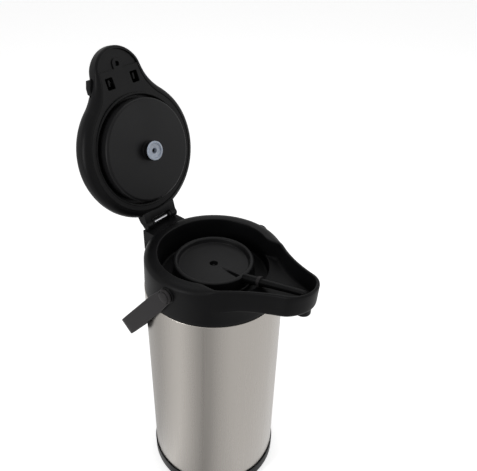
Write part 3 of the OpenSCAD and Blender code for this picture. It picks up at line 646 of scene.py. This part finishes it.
# %% Rings of the inside
TROUGH_DEPTH = 22.0
SPOUT_DEPTH = 26.0
SKIRT_R = 77.5
RIM_SAG = 0.9
WELL_FLOOR = 9.0
WELL_ROUND = 3.0
NECK_HOLE_R = 45.4
RING_STEP = 0.05
rings = []


def rim_z(x):
    """Height of the rim: it follows the slope in front and sags a little at the back."""
    return RIM_Z + rise(x) - RIM_SAG * (1 - smooth_step(x, -50, 40))


def inside_ring(reaches, height):
    """A ring at these distances from the axis; height is a function of x and the sample's number."""
    ring = []
    for i, (r, t) in enumerate(zip(reaches, inner_turn)):
        x = r * cos(t)
        ring.append((x, r * sin(t), height(x, i)))
    rings.append(ring)


def level_ring(radius, z):
    inside_ring([radius] * len(reach), lambda x, i: z)


level_ring(NECK_HOLE_R, 6.0)
level_ring(NECK_HOLE_R, WELL_FLOOR - 0.4)
level_ring(NECK_HOLE_R + 0.4, WELL_FLOOR)
for t in quarter(5):
    level_ring(WELL_R - WELL_ROUND * (1 - sin(t)), WELL_FLOOR + WELL_ROUND * (1 - cos(t)))
for below in (1.2, 0.5):
    inside_ring([WELL_R] * len(reach), lambda x, i: rim_z(x) - TROUGH_DEPTH - below)
inside_ring([WELL_R + min(0.8, d) for d in open_by], lambda x, i: rim_z(x) - TROUGH_DEPTH)
trough_round = [min(4.0, 0.45 * d) for d in open_by]
for k, t in enumerate(quarter(6)):
    inside_ring([r - c * (1 - sin(t)) for r, c in zip(reach, trough_round)],
                lambda x, i: rim_z(x) - TROUGH_DEPTH + trough_round[i] * (1 - cos(t)) + RING_STEP * k)
for part in (0.35, 0.65):
    inside_ring(reach, lambda x, i: rim_z(x) - TROUGH_DEPTH * (1 - part))
lip_round = [min(1.2, 0.3 * w) for w in wall_by]
for t in quarter(4):
    inside_ring([r + c * (1 - cos(t)) for r, c in zip(reach, lip_round)],
                lambda x, i: rim_z(x) - lip_round[i] * (1 - sin(t)))
print("rings inside:", len(rings))

# %% Rings of the outside
crown_w = [min(9.0, 0.62 * w) for w in wall_by]
crown_h = [min(6.0, 0.62 * w) for w in wall_by]
lean = [0.06 * share for share in tip_share]
edge_round = [min(3.0 + 2.0 * share, 0.4 * d) for share, d in zip(tip_share, out_by)]


def wall_r(z):
    """Radius of the head's outside at a height: it narrows a little towards the rim."""
    return SKIRT_R + (RIM_R - SKIRT_R) * z / RIM_Z


def outside_ring(inset, depth):
    """A ring on the outside, this far inwards and this deep below the rim (lists, one for each sample)."""
    ring = []
    for i, (x, y) in enumerate(outline(head_drop, inset)):
        z = rim_z(outer_plan[i][0]) - depth[i]
        grow = (wall_r(z) - RIM_R) * (1 - smooth_step(out_by[i], 0, 6)) * smooth_step(depth[i], 2, 10)
        ring.append((x + grow * cos(outer_turn[i]), y + grow * sin(outer_turn[i]), z))
    rings.append(ring)


for t in quarter(8):
    outside_ring([w * (1 - sin(t)) for w in crown_w], [h * (1 - cos(t)) for h in crown_h])
for part in (0.25, 0.5, 0.75, 1.0):
    depth = [h + (SPOUT_DEPTH - e - h) * part for h, e in zip(crown_h, edge_round)]
    outside_ring([s * (d - h) for s, d, h in zip(lean, depth, crown_h)], depth)
foot_in = [s * (SPOUT_DEPTH - e - h) for s, e, h in zip(lean, edge_round, crown_h)]
for t in quarter(6)[1:]:
    outside_ring([f + e * (1 - cos(t)) for f, e in zip(foot_in, edge_round)],
                 [SPOUT_DEPTH - e * (1 - sin(t)) for e in edge_round])
root_round = [min(6.0, 0.5 * d) for d in out_by]
for k, t in enumerate(quarter(5)):
    ring = []
    for i, turn in enumerate(outer_turn):
        below = SPOUT_DEPTH + root_round[i] * (1 - cos(t)) + RING_STEP * (k + 1)
        z = rim_z(RIM_R * cos(turn)) - below
        r = wall_r(z) + root_round[i] * (1 - sin(t))
        ring.append((r * cos(turn), r * sin(turn), z))
    rings.append(ring)
for z, inset in ((9.0, 0), (4.0, 0), (1.0, 0), (0.3, 0.25), (0.0, 0.9), (0.0, 3.0), (6.0, 3.0)):
    rings.append(round_ring(outer_turn, wall_r(z) - inset, z))

on_head = shift((0, 0, HEAD_Z))
head_shell = moved(loft(rings, closed=True), on_head)
print("head loft:", len(rings), "rings")

# %% [markdown]
# ## Hinge block and handle bosses
# A wedge at the back of the head carries two knuckles for the hinge pin, and a curved wall stands behind
# the pin between them. On each side of the head a round boss stands out for the handle. They belong to
# the same moulding, so they join the head's mesh.

# %% Hinge block and handle bosses
HINGE = Vector((-83.3, 0, 47.0))
PIVOT = Vector((5, 0, 28.5))
PIN_R = 2.0
PIN_HALF = 22.1
PIN_SHOWS = 11.3
KNUCKLE_R = 4.6
KNUCKLE_W = 3.0
SADDLE_R = 4.2
SADDLE_HOLLOW_R = 2.35
SADDLE_LOW = -5.5
BLOCK_BELOW_PIN = 5.3
BLOCK_HALF = 24.6
BOSS_R = 9.0


def rod(radius, low, high, edge=0.6, steps=64, hole=0.0):
    """A turned rod along z with rounded ends, or a tube if it has a hole."""
    if hole:
        return turned_ring([(hole, (low + high) / 2), (hole, low, edge / 2), (radius, low, edge),
                            (radius, high, edge), (hole, high, edge / 2)], 4, steps)
    return lathe(rounded([(0, low), (radius, low, edge), (radius, high, edge), (0, high)], 4), steps)


def facing(side):
    """The turn that lays the z axis along +Y for a side of 1, or along -Y for a side of -1."""
    return Matrix.Rotation(radians(-90 * side), 4, "X")


def side_rod(centre, radius, start, end, side, **more):
    """A rod across the part from |y| = start to end on one side."""
    return moved(rod(radius, start, end, **more), shift(centre) @ facing(side))


def block_across(corners, width, edge=1.0):
    """A prism across the part from a profile of (x, z) corners, with its long edges rounded."""
    loop = rounded([(x, z, edge) for x, z in corners + corners[:2]], 4)[1:-1]
    ends = [shift((0, y, 0)) @ facing(-1) for y in (width, -width)]
    return prism(loop, *ends)


block_top = HINGE.z - BLOCK_BELOW_PIN
block = block_across([(-86.3, block_top), (-68, block_top), (-68, block_top - 34), (-86.3, block_top - 26)],
                     BLOCK_HALF)
behind_pin = arc(SADDLE_R, 90, 180, 15) + [(-SADDLE_R, SADDLE_LOW), (-1.2, SADDLE_LOW)]
behind_pin += arc(SADDLE_HOLLOW_R, 240, 90, -15)
knuckles = [block_across([(HINGE.x + x, HINGE.z + z) for x, z in behind_pin], PIN_SHOWS + 0.2, 0)]
foot = block_across([(-86.2, block_top - 1), (-79.7, block_top - 1), (-79.7, HINGE.z), (-86.2, HINGE.z)],
                    KNUCKLE_W / 2, 0.4)
for side in (-1, 1):
    knuckles.append(side_rod(HINGE, KNUCKLE_R, PIN_SHOWS, PIN_SHOWS + KNUCKLE_W, side, edge=0.5))
    knuckles.append(moved(foot, shift((0, side * (PIN_SHOWS + KNUCKLE_W / 2), 0))))
bosses = [side_rod(PIVOT, BOSS_R, 66, 77.8, side, edge=0.8) for side in (-1, 1)]
fittings = moved(joined(block, *knuckles, *bosses), on_head)
piece("head_moulding", joined(head_shell, fittings), black_abs, "flask", "collar")

pin_shape = moved(side_rod(HINGE, PIN_R, -PIN_HALF, PIN_HALF, 1, edge=0.7, steps=48), on_head)
piece("hinge_rod", pin_shape, bright, "flask", "hinge_pin")
print("head moulding and hinge rod made")

# %% [markdown]
# ## Stopper and tubes
# The stopper's top is a dish inside a rolled ring, with an air hole in the middle and a wedge-shaped
# channel towards the tube. A short skirt covers the bottle's lip. The channel is pressed into the turned
# shape by lowering the points that lie in it.

# %% Stopper and tubes
DISH_Z = 24.0
RING_R = 44.5
RING_TOP = 30.2
CHANNEL_DEPTH = 4.0
CHANNEL_SPREAD = 0.07
stopper_profile = rounded([(0, -12), (36.5, -12, 1.0), (36.5, 13.5), (45.35, 13.5), (45.35, 9.2),
                           (45.75, 9.2), (45.75, 13.8, 0.4), (RING_R, 14.8, 0.6), (RING_R, RING_TOP, 2.3),
                           (39.8, RING_TOP, 2.3), (38.6, 24.2, 1.2), (30, DISH_Z), (20, DISH_Z),
                           (12, DISH_Z), (4.6, DISH_Z, 0.4), (4.5, 16.0), (0, 16.0)], 6)
dish = []
for a, b in zip(stopper_profile, stopper_profile[1:]):
    parts = 12 if min(a[1], b[1]) > DISH_Z - 1 and abs(a[0] - b[0]) > 5 else 1
    dish += [(a[0] + (b[0] - a[0]) * k / parts, a[1] + (b[1] - a[1]) * k / parts) for k in range(parts)]
dish.append(stopper_profile[-1])
stopper_points, stopper_faces = lathe(dish, 240)
for p in stopper_points:
    if p.z > DISH_Z - 1 and p.x > 0:
        along = smooth_step(p.x, 9, 26) * (1 - smooth_step(p.x, 36, 37))
        half = CHANNEL_SPREAD * p.x
        p.z -= CHANNEL_DEPTH * along * (1 - smooth_step(abs(p.y), half - 0.6, half + 0.4))
piece("stopper_dish", moved((stopper_points, stopper_faces), on_head), drum_abs, "flask", "stopper_body")

TUBE_TILT = radians(15)
TUBE_FOOT = Vector((45, 0, 26.6))
TUBE_END_X = 117.0
OUTLET_X = 118.5
along_tube = on_head @ shift(TUBE_FOOT) @ Matrix.Rotation(pi / 2 - TUBE_TILT, 4, "Y")
shape = rod(5.0, -1.5, 20.5, edge=0.5, hole=3.5)
piece("socket_stub", moved(shape, along_tube), black_abs, "flask", "tube_socket")
shape = rod(6.0, 18.5, 22.5, edge=0.6, hole=5.02)
piece("joint_ring", moved(shape, along_tube), grey_pp, "flask", "tube_sleeve")

tube_length = (TUBE_END_X - TUBE_FOOT.x) / cos(TUBE_TILT)


def tube_frames():
    """Centre, direction and radius along the tube: a straight taper, then a bend down into the outlet."""
    ahead = Vector((cos(TUBE_TILT), 0, sin(TUBE_TILT)))
    rows = [(20.7, 5.0), (22.0, 5.0), (22.8, 4.3), (30.0, 4.15), (45.0, 3.8), (60.0, 3.5)]
    frames = [(TUBE_FOOT + ahead * s, ahead, r) for s, r in rows]
    bend_at = TUBE_FOOT + ahead * (tube_length - 1.5)
    bend_r = 4
    down = Vector((0.05, 0, -1)).normalized()
    for k in range(1, 9):
        t = k / 8
        turn = t * pi / 2
        centre = bend_at + ahead * bend_r * sin(turn) + down * bend_r * (1 - cos(turn))
        frames.append((centre, (ahead * (1 - t) + down * t).normalized(), 3.4))
    frames.append((frames[-1][0] + down * 9, down, 3.3))
    return frames


def swept(frames, steps=40):
    """A closed tube through (centre, direction, radius) rows in the x-z plane."""
    rings = [[frames[0][0]]]
    turns = [2 * pi * i / steps for i in range(steps)]
    side = Vector((0, 1, 0))
    for centre, heading, radius in frames:
        up = heading.cross(side)
        rings.append([centre + (side * cos(t) + up * sin(t)) * radius for t in turns])
    rings.append([frames[-1][0]])
    return loft(rings)


piece("pouring_tube", moved(swept(tube_frames()), on_head), black_abs, "flask", "dispense_tube")
outlet = turned_ring([(3.7, 30), (3.7, 22.6, 0.5), (8.0, 22.6, 1.2), (8.0, 32, 0.5), (3.7, 32)], 5, 72)
outlet = moved(outlet, on_head @ shift((OUTLET_X, 0, 0)))
piece("outlet_ring", outlet, black_abs, "flask", "spout_nozzle")
print("stopper, tubes and outlet made")

# %% [markdown]
# ## Handle
# A flat strap is bent round the back of the flask. It is one loft along the strap's middle line with a
# rounded cross-section. At each end a round eye lies on the boss, held by a domed pin.

# %% Handle
STRAP_W = 20.0
STRAP_T = 3.0
ARM = 99.0
REACH = 146.4
ARM_Y = 79.6
EYE_R = 8.5
TAPER = 22.0
HANG = radians(50.6)
SHANK_R = 5.0
DOME_R = 6.5
DOME_H = 1.68
hang = shift(PIVOT) @ Matrix.Rotation(pi - HANG, 4, "Y")
middle = [(ARM * k / 18, -ARM_Y) for k in range(18)]
middle += [(ARM + (REACH - ARM) * cos(t), ARM_Y * sin(t))
           for t in (radians(-90 + 180 * k / 72) for k in range(73))]
middle += [(ARM * (17 - k) / 18, ARM_Y) for k in range(18)]
section = round_box(STRAP_T / 2, STRAP_W / 2, 1.2, 4)
end_half = EYE_R - 0.4
strap_rings = []
for i, (l, y) in enumerate(middle):
    before, after = middle[max(0, i - 1)], middle[min(len(middle) - 1, i + 1)]
    ahead = Vector((after[0] - before[0], after[1] - before[1])).normalized()
    out = Vector((ahead.y, -ahead.x))
    narrow = (end_half + (STRAP_W / 2 - end_half) * min(1.0, l / TAPER)) / (STRAP_W / 2)
    strap_rings.append([(l + out.x * u, y + out.y * u, v * narrow) for u, v in section])
strap_rings = [[(0, -ARM_Y, 0)]] + strap_rings + [[(0, ARM_Y, 0)]]
eyes = [side_rod(PIVOT, EYE_R, ARM_Y - STRAP_T / 2, ARM_Y + STRAP_T / 2, side, edge=1.0) for side in (-1, 1)]
handle_shape = joined(moved(loft(strap_rings), hang), *eyes)
piece("carrying_strap", moved(handle_shape, on_head), grey_pp, "handle", "handle_bail")

head_y = ARM_Y + STRAP_T / 2 + 0.3
dome = [(0, 69.1), (SHANK_R, 69.1), (SHANK_R, head_y), (DOME_R, head_y)]
dome += [(DOME_R * cos(t), head_y + 0.5 + DOME_H * sin(t)) for t in quarter(8)]
for side, node in ((1, "handle_pin_left"), (-1, "handle_pin_right")):
    shape = moved(lathe(dome, 64), on_head @ shift(PIVOT) @ facing(side))
    piece(node + "_dome", shape, grey_pp, "flask", node)
print("handle made")

# %% [markdown]
# ## Lid shell
# The lid is drawn shut, where its sizes are plain, and then turned about the hinge pin to the open
# pose. Like the head it is one loft: from the button's opening over the top, down the side, round the
# soft lower edge to the panel's recess and back up inside.

# %% Lid shell
LID_OPEN = radians(105.6)
LID_Z = 44.0
LID_TOP = 70.0
NOSE_X = 82.0
NOSE_R = 31.0
NOSE_FLANK_R = 64.0
BUTTON_HOLE_R = 46.2
BUTTON_STOP_R = 48.6
BUTTON_STOP_Z = 58.0
opened = Matrix.Rotation(-LID_OPEN, 4, "Y")
on_lid = on_head @ shift(HINGE) @ opened @ shift(-HINGE)
lid_drop = drop(RIM_R, NOSE_X, NOSE_R, NOSE_FLANK_R)
lid_plan = outline(lid_drop)
lid_turn = [atan2(y, x) for x, y in lid_plan]
nose_by = [smooth_step(hypot(x, y) - RIM_R, 0, 25) for x, y in lid_plan]
lip = [8.2 - 5.0 * n for n in nose_by]
low_round = [9.0 - 6.6 * n for n in nose_by]
top_z = [LID_TOP - 1.3 * n for n in nose_by]
top_round = []
for i, (x, y) in enumerate(lid_plan):
    room = top_z[i] - LID_Z - rise(x) - low_round[i] - 0.3
    top_round.append(min(room, 13.0 + 2.5 * smooth_step(-x, 0, 60) - 6.0 * nose_by[i]))
hole_edge = ((BUTTON_STOP_R, BUTTON_STOP_Z), (BUTTON_HOLE_R, BUTTON_STOP_Z), (BUTTON_HOLE_R, LID_TOP - 0.6),
             (46.4, LID_TOP - 0.1), (46.9, LID_TOP), (52, LID_TOP), (58, LID_TOP))
rings = [round_ring(lid_turn, r, z) for r, z in hole_edge]
for t in quarter(10):
    plan = outline(lid_drop, [r * (1 - sin(t)) for r in top_round])
    rings.append([(x, y, top_z[i] - top_round[i] * (1 - cos(t))) for i, (x, y) in enumerate(plan)])
for t in quarter(12):
    inset = [min(r * (1 - cos(t)), w) for r, w in zip(low_round, lip)]
    drop_by = [r - sqrt(r * r - (r - d) ** 2) for r, d in zip(low_round, inset)]
    rings.append([(x, y, LID_Z + rise(x) + up) for (x, y), up in zip(outline(lid_drop, inset), drop_by)])
for inset, up in ((lip, 0.04), (lip, 5), (3.0, 9)):
    rings.append([(x, y, LID_Z + rise(x) + up) for x, y in outline(lid_drop, inset)])
plan = outline(lid_drop, [r + 1.5 for r in top_round])
rings.append([(x, y, top_z[i] - 3.2) for i, (x, y) in enumerate(plan)])
rings.append(round_ring(lid_turn, BUTTON_STOP_R, LID_TOP - 3))
lid_mesh = mesh_from("lid_cover", moved(loft(rings, closed=True), on_lid))
print("lid loft:", len(rings), "rings")

# %% [markdown]
# ## Windows and lugs of the lid
# On each flank of the nose a window lets the release tab through. It is cut with a block. Two lugs and
# the web between them carry the lid on the hinge pin.

# %% Windows and lugs of the lid
TAB = Vector((77.5, 34.5, 62.0))
WINDOW = (8.9, 4.4)
LUG_R = 4.9
LUG_FROM = 14.6
LUG_TO = 23.1
for side in (-1, 1):
    ends = [shift((TAB.x, side * (TAB.y + out), TAB.z)) @ facing(1) for out in (-9, 9)]
    window = prism(round_box(*WINDOW, 1, 3), *ends)
    cutter = add_object("cutter", mesh_from("cutter", moved(window, on_lid)))
    cut = {"object": cutter, "operation": "DIFFERENCE", "solver": "EXACT"}
    lid_mesh = with_modifiers(lid_mesh, ("BOOLEAN", cut))
    bpy.data.objects.remove(cutter)
lid_mesh.set_sharp_from_angle(angle=SHARP)
piece("lid_cover", lid_mesh, black_abs, "lid", "lid_shell")

lugs = [block_across([(-78, 44.3), (-68, 44.3), (-68, 57), (-78, 51.4)], LUG_FROM + 0.2, 0.8)]
arm = block_across([(-83.3, 44.3), (-68, 44.3), (-68, 58), (-80, 54.5), (-83.3, 51.4)],
                   (LUG_TO - LUG_FROM) / 2, 0.8)
for side in (-1, 1):
    lugs.append(side_rod(HINGE, LUG_R, LUG_FROM, LUG_TO, side, edge=0.8))
    lugs.append(moved(arm, shift((0, side * (LUG_FROM + LUG_TO) / 2, 0))))
piece("lid_lugs", moved(joined(*lugs), on_lid), black_abs, "lid", "lid_shell")
print("lid cover:", len(lid_mesh.polygons), "faces")

# %% [markdown]
# ## Panel under the lid
# The panel is a plate with a hole for the drum, two latch slots and a tongue for its screw. A flat curve
# with holes fills itself, and its bevel rounds the edges. The plate is then bent up along the rim's
# slope. Beyond the panel's end the nose has its own floor, set 1.5 mm deeper.

# %% Panel under the lid
def plate(loops, low, thick, edge):
    """A plate with holes from closed loops of (x, y) in mm, rounded by edge, bent along the rim's slope."""
    curve = bpy.data.curves.new("plate", "CURVE")
    curve.dimensions = "2D"
    curve.fill_mode = "BOTH"
    curve.extrude = (thick / 2 - edge) * MM
    curve.bevel_depth = edge * MM
    curve.bevel_resolution = 2
    curve.offset = -edge * MM
    for loop in loops:
        spline = curve.splines.new("POLY")
        spline.points.add(len(loop) - 1)
        spline.use_cyclic_u = True
        for point, (x, y) in zip(spline.points, loop):
            point.co = (x * MM, y * MM, 0, 1)
    points, faces = shape_of(with_modifiers(curve))
    return [Vector((p.x, p.y, p.z + low + thick / 2 + rise(p.x))) for p in points], faces


def round_loop(centre_x, radius, steps):
    turns = [2 * pi * i / steps for i in range(steps)]
    return [(centre_x + radius * cos(t), radius * sin(t)) for t in turns]


PANEL_Z = 44.5
PANEL_T = 2.5
PANEL_END = 90.0
DRUM_HOLE_R = 59.6
SCREW_X = 94.5
TONGUE_R = 6
SLOT_X = (71, 83)
SLOT_Y = (12, 21.5)
FLAT = radians(12)
panel_loop = [p for p in outline(lid_drop, [w + 0.3 for w in lip]) if p[0] < PANEL_END]
end_y = panel_loop[-1][1]
panel_loop += [(PANEL_END, end_y), (PANEL_END, -TONGUE_R)]
panel_loop += [(SCREW_X + x, y) for x, y in arc(TONGUE_R, -90, 90, 15)]
panel_loop += [(PANEL_END, TONGUE_R), (PANEL_END, -end_y)]
slot_start = (sum(SLOT_X) / 2, SLOT_Y[0])
slot_corners = [(SLOT_X[i], SLOT_Y[j], 1) for i, j in ((1, 0), (1, 1), (0, 1), (0, 0))]
slot_loop = rounded([slot_start, *slot_corners, slot_start], 3)[:-1]
slot_loops = [[(x, side * y) for x, y in slot_loop] for side in (-1, 1)]
screw_loop = round_loop(SCREW_X, 2.6, 24)
drum_loop = round_loop(0, DRUM_HOLE_R, 160)
panel = plate([panel_loop, drum_loop, screw_loop, *slot_loops], PANEL_Z, PANEL_T, 0.4)
upstand = turned_ring([(DRUM_HOLE_R, 48), (DRUM_HOLE_R, 44.1, 1.3), (62.6, 44.1, 1.3), (62.6, 46),
                       (62, 52.2, 0.4), (DRUM_HOLE_R, 52.2, 0.4)], 6, 160)
panel = mesh_from("lid_underside", moved(joined(panel, upstand), on_lid), FLAT)
piece("lid_underside", panel, black_abs, "lid", "lid_panel")
floor_loop = [p for p in outline(lid_drop, [w - 0.2 for w in lip]) if p[0] > 84]
nose_floor = plate([floor_loop[-1:] + floor_loop[:-1], screw_loop], PANEL_Z + 1.5, PANEL_T, 0.3)
nose_floor = mesh_from("nose_floor", moved(nose_floor, on_lid), FLAT)
piece("nose_floor", nose_floor, black_abs, "lid", "lid_shell")
print("panel and nose floor made")

# %% [markdown]
# ## Drum and nozzle
# The drum, the nozzle and its silicone cap are turned. The cap's face has a raised ring that presses on
# the stopper.

# %% Drum and nozzle
CHAMBER = (37.5, 78.0)
DRUM_R = 56.4
DRUM_LOW = 34.5
STUB_R = 9.6
STUB_LOW = 26.8
drum = rounded([(0, DRUM_LOW), (DRUM_R, DRUM_LOW, 3.2), (DRUM_R, 52.2), (61.6, 52.2), (61.6, 54.2),
                (53.6, 54.2), (53.6, CHAMBER[0]), (0, CHAMBER[0])], 7)
piece("pump_drum", moved(lathe(drum, 200), on_lid), drum_abs, "lid", "bellows_plate")
stub = turned_ring([(4.8, 30), (4.8, STUB_LOW, 0.3), (STUB_R, STUB_LOW, 0.4), (STUB_R, 33.3, 0.8),
                    (11.1, 33.3, 0.4), (11.1, DRUM_LOW), (4.8, DRUM_LOW)], 4, 96)
piece("nozzle_stub", moved(stub, on_lid), black_abs, "lid", "nozzle")
cap = turned_ring([(3.15, 28), (3.15, 26.2, 0.4), (7.9, 26.2, 0.4), (8.4, 24.4, 0.4), (10.4, 24.4, 0.8),
                   (10.4, STUB_LOW, 0.6), (4.75, STUB_LOW), (4.75, 31.8, 0.3), (3.15, 31.8, 0.2)], 4, 96)
piece("nozzle_cap", moved(cap, on_lid), silicone, "lid", "nozzle_seal")
print("drum and nozzle made")

# %% [markdown]
# ## Button and tabs
# The lid's far side carries the round button. Its top is slightly dished for the palm, inside a raised
# edge. The release tabs keep the shape of their solids and only get soft edges.

# %% Button and tabs
BUTTON_R = 45.8
BUTTON_TOP = 82.0
button = rounded([(0, 80.6), (30, 81.0), (38, 81.2, 4), (41.5, BUTTON_TOP, 1.5), (BUTTON_R, BUTTON_TOP, 3),
                  (BUTTON_R, 57.7), (48.8, 57.7, 0.4), (48.8, 55.5, 0.4), (43.4, 55.5), (43.4, CHAMBER[1]),
                  (0, CHAMBER[1])], 6)
piece("palm_button", moved(lathe(button, 160), on_lid), grey_pp, "button", "push_button")
for name in ("left", "right"):
    node = "release_tab_" + name
    piece(node + "_grip", softened(node, 0.5), black_abs, "tab_" + name, node)
print("button and tabs made")

# %% [markdown]
# ## Springs and bellows
# A spring is a wire that follows a helix, so a small geometry tree draws all three: a spiral, a round
# section swept along it, real geometry and its finish. The sizes are the tree's inputs. The bellows is
# turned.

# %% Springs and bellows
coil = bpy.data.node_groups.new("coil", "GeometryNodeTree")
coil.is_modifier = True
coil.interface.new_socket("Geometry", in_out="OUTPUT", socket_type="NodeSocketGeometry")
for name in ("Turns", "Radius", "Height", "Wire"):
    coil.interface.new_socket(name, in_out="INPUT", socket_type="NodeSocketFloat")
coil.interface.new_socket("Finish", in_out="INPUT", socket_type="NodeSocketMaterial")
given = put(coil, "NodeGroupInput").outputs
helix = put(coil, "GeometryNodeCurveSpiral", {"Resolution": 28, "Rotations": given["Turns"],
                                              "Start Radius": given["Radius"], "End Radius": given["Radius"],
                                              "Height": given["Height"]})
section = put(coil, "GeometryNodeCurvePrimitiveCircle", {"Resolution": 10, "Radius": given["Wire"]})
wire = put(coil, "GeometryNodeCurveToMesh", {"Curve": helix.outputs[0], "Profile Curve": section.outputs[0],
                                             "Fill Caps": True})
real = put(coil, "GeometryNodeRealizeInstances", {"Geometry": wire.outputs[0]})
finished = put(coil, "GeometryNodeSetMaterial", {"Geometry": real.outputs[0], "Material": given["Finish"]})
put(coil, "NodeGroupOutput", {"Geometry": finished.outputs[0]})


def spring(turns, radius, height, wire_r):
    """A coil standing on z = 0, all in mm, as a shape."""
    holder = add_object("holder", bpy.data.meshes.new("holder"))
    modifier = holder.modifiers.new("coil", "NODES")
    modifier.node_group = coil
    values = {"Turns": turns, "Radius": radius * MM, "Height": height * MM, "Wire": wire_r * MM,
              "Finish": bright}
    for item in coil.interface.items_tree:
        if item.in_out == "INPUT":
            modifier[item.identifier] = values[item.name]
    return shape_of(evaluated(holder))


COIL_R = 14.5
COIL_WIRE = 1.3
COIL_GAP = 1.5
FOLDS = 5
FOLD_IN = 35.5
FOLD_OUT = 42.5
RUBBER_T = 1.2
TAB_COIL_Y = 7.0
low, high = CHAMBER
shape = spring(8.0, COIL_R, high - low - 2 * COIL_GAP, COIL_WIRE)
shape = moved(shape, on_lid @ shift((0, 0, low + COIL_GAP)))
made = piece("push_coil", shape, bright, "lid", "button_spring")
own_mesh(made)

pitch = (high - low) / FOLDS
folds = [(FOLD_IN, low)]
for i in range(FOLDS):
    folds += [(FOLD_OUT, low + (i + 0.5) * pitch, 1.6), (FOLD_IN, low + (i + 1) * pitch, 1.2)]
fold_line = rounded(folds, 5)
shape = lathe(fold_line + [(r - RUBBER_T, z) for r, z in reversed(fold_line)], 128, closed=True)
made = piece("rubber_bellows", moved(shape, on_lid), black_rubber, "lid", "bellows")
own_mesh(made)

for side, name in ((1, "left"), (-1, "right")):
    start = shift((TAB.x, side * (TAB_COIL_Y + 0.3), TAB.z))
    shape = moved(spring(6.0, 1.5, 7.9, 0.28), on_lid @ start @ facing(side))
    made = piece("tab_coil_" + name, shape, bright, "lid", "tab_spring_" + name)
    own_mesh(made)
print("springs and bellows made")

# %% [markdown]
# ## What stays as it is
# The pieces inside are right as solids and only need their finish.

# %% What stays as it is
finishes = {"steel": steel, "black_plastic": black_abs, "grey_plastic": grey_pp,
            "black_rubber": black_rubber, "silicone": silicone, "bright_metal": bright}
kept = []
for name, node in frame["nodes"].items():
    if not node.hide_render:
        node.data.materials.clear()
        # The lid's screw gets the dark steel in place of its bright finish, as painted shade for its deep
        # hole.
        node.data.materials.append(recess_shade_steel if name == "lid_screw" else finishes[slots[name]])
        kept.append(name)
print("CAD nodes that stay:", kept)
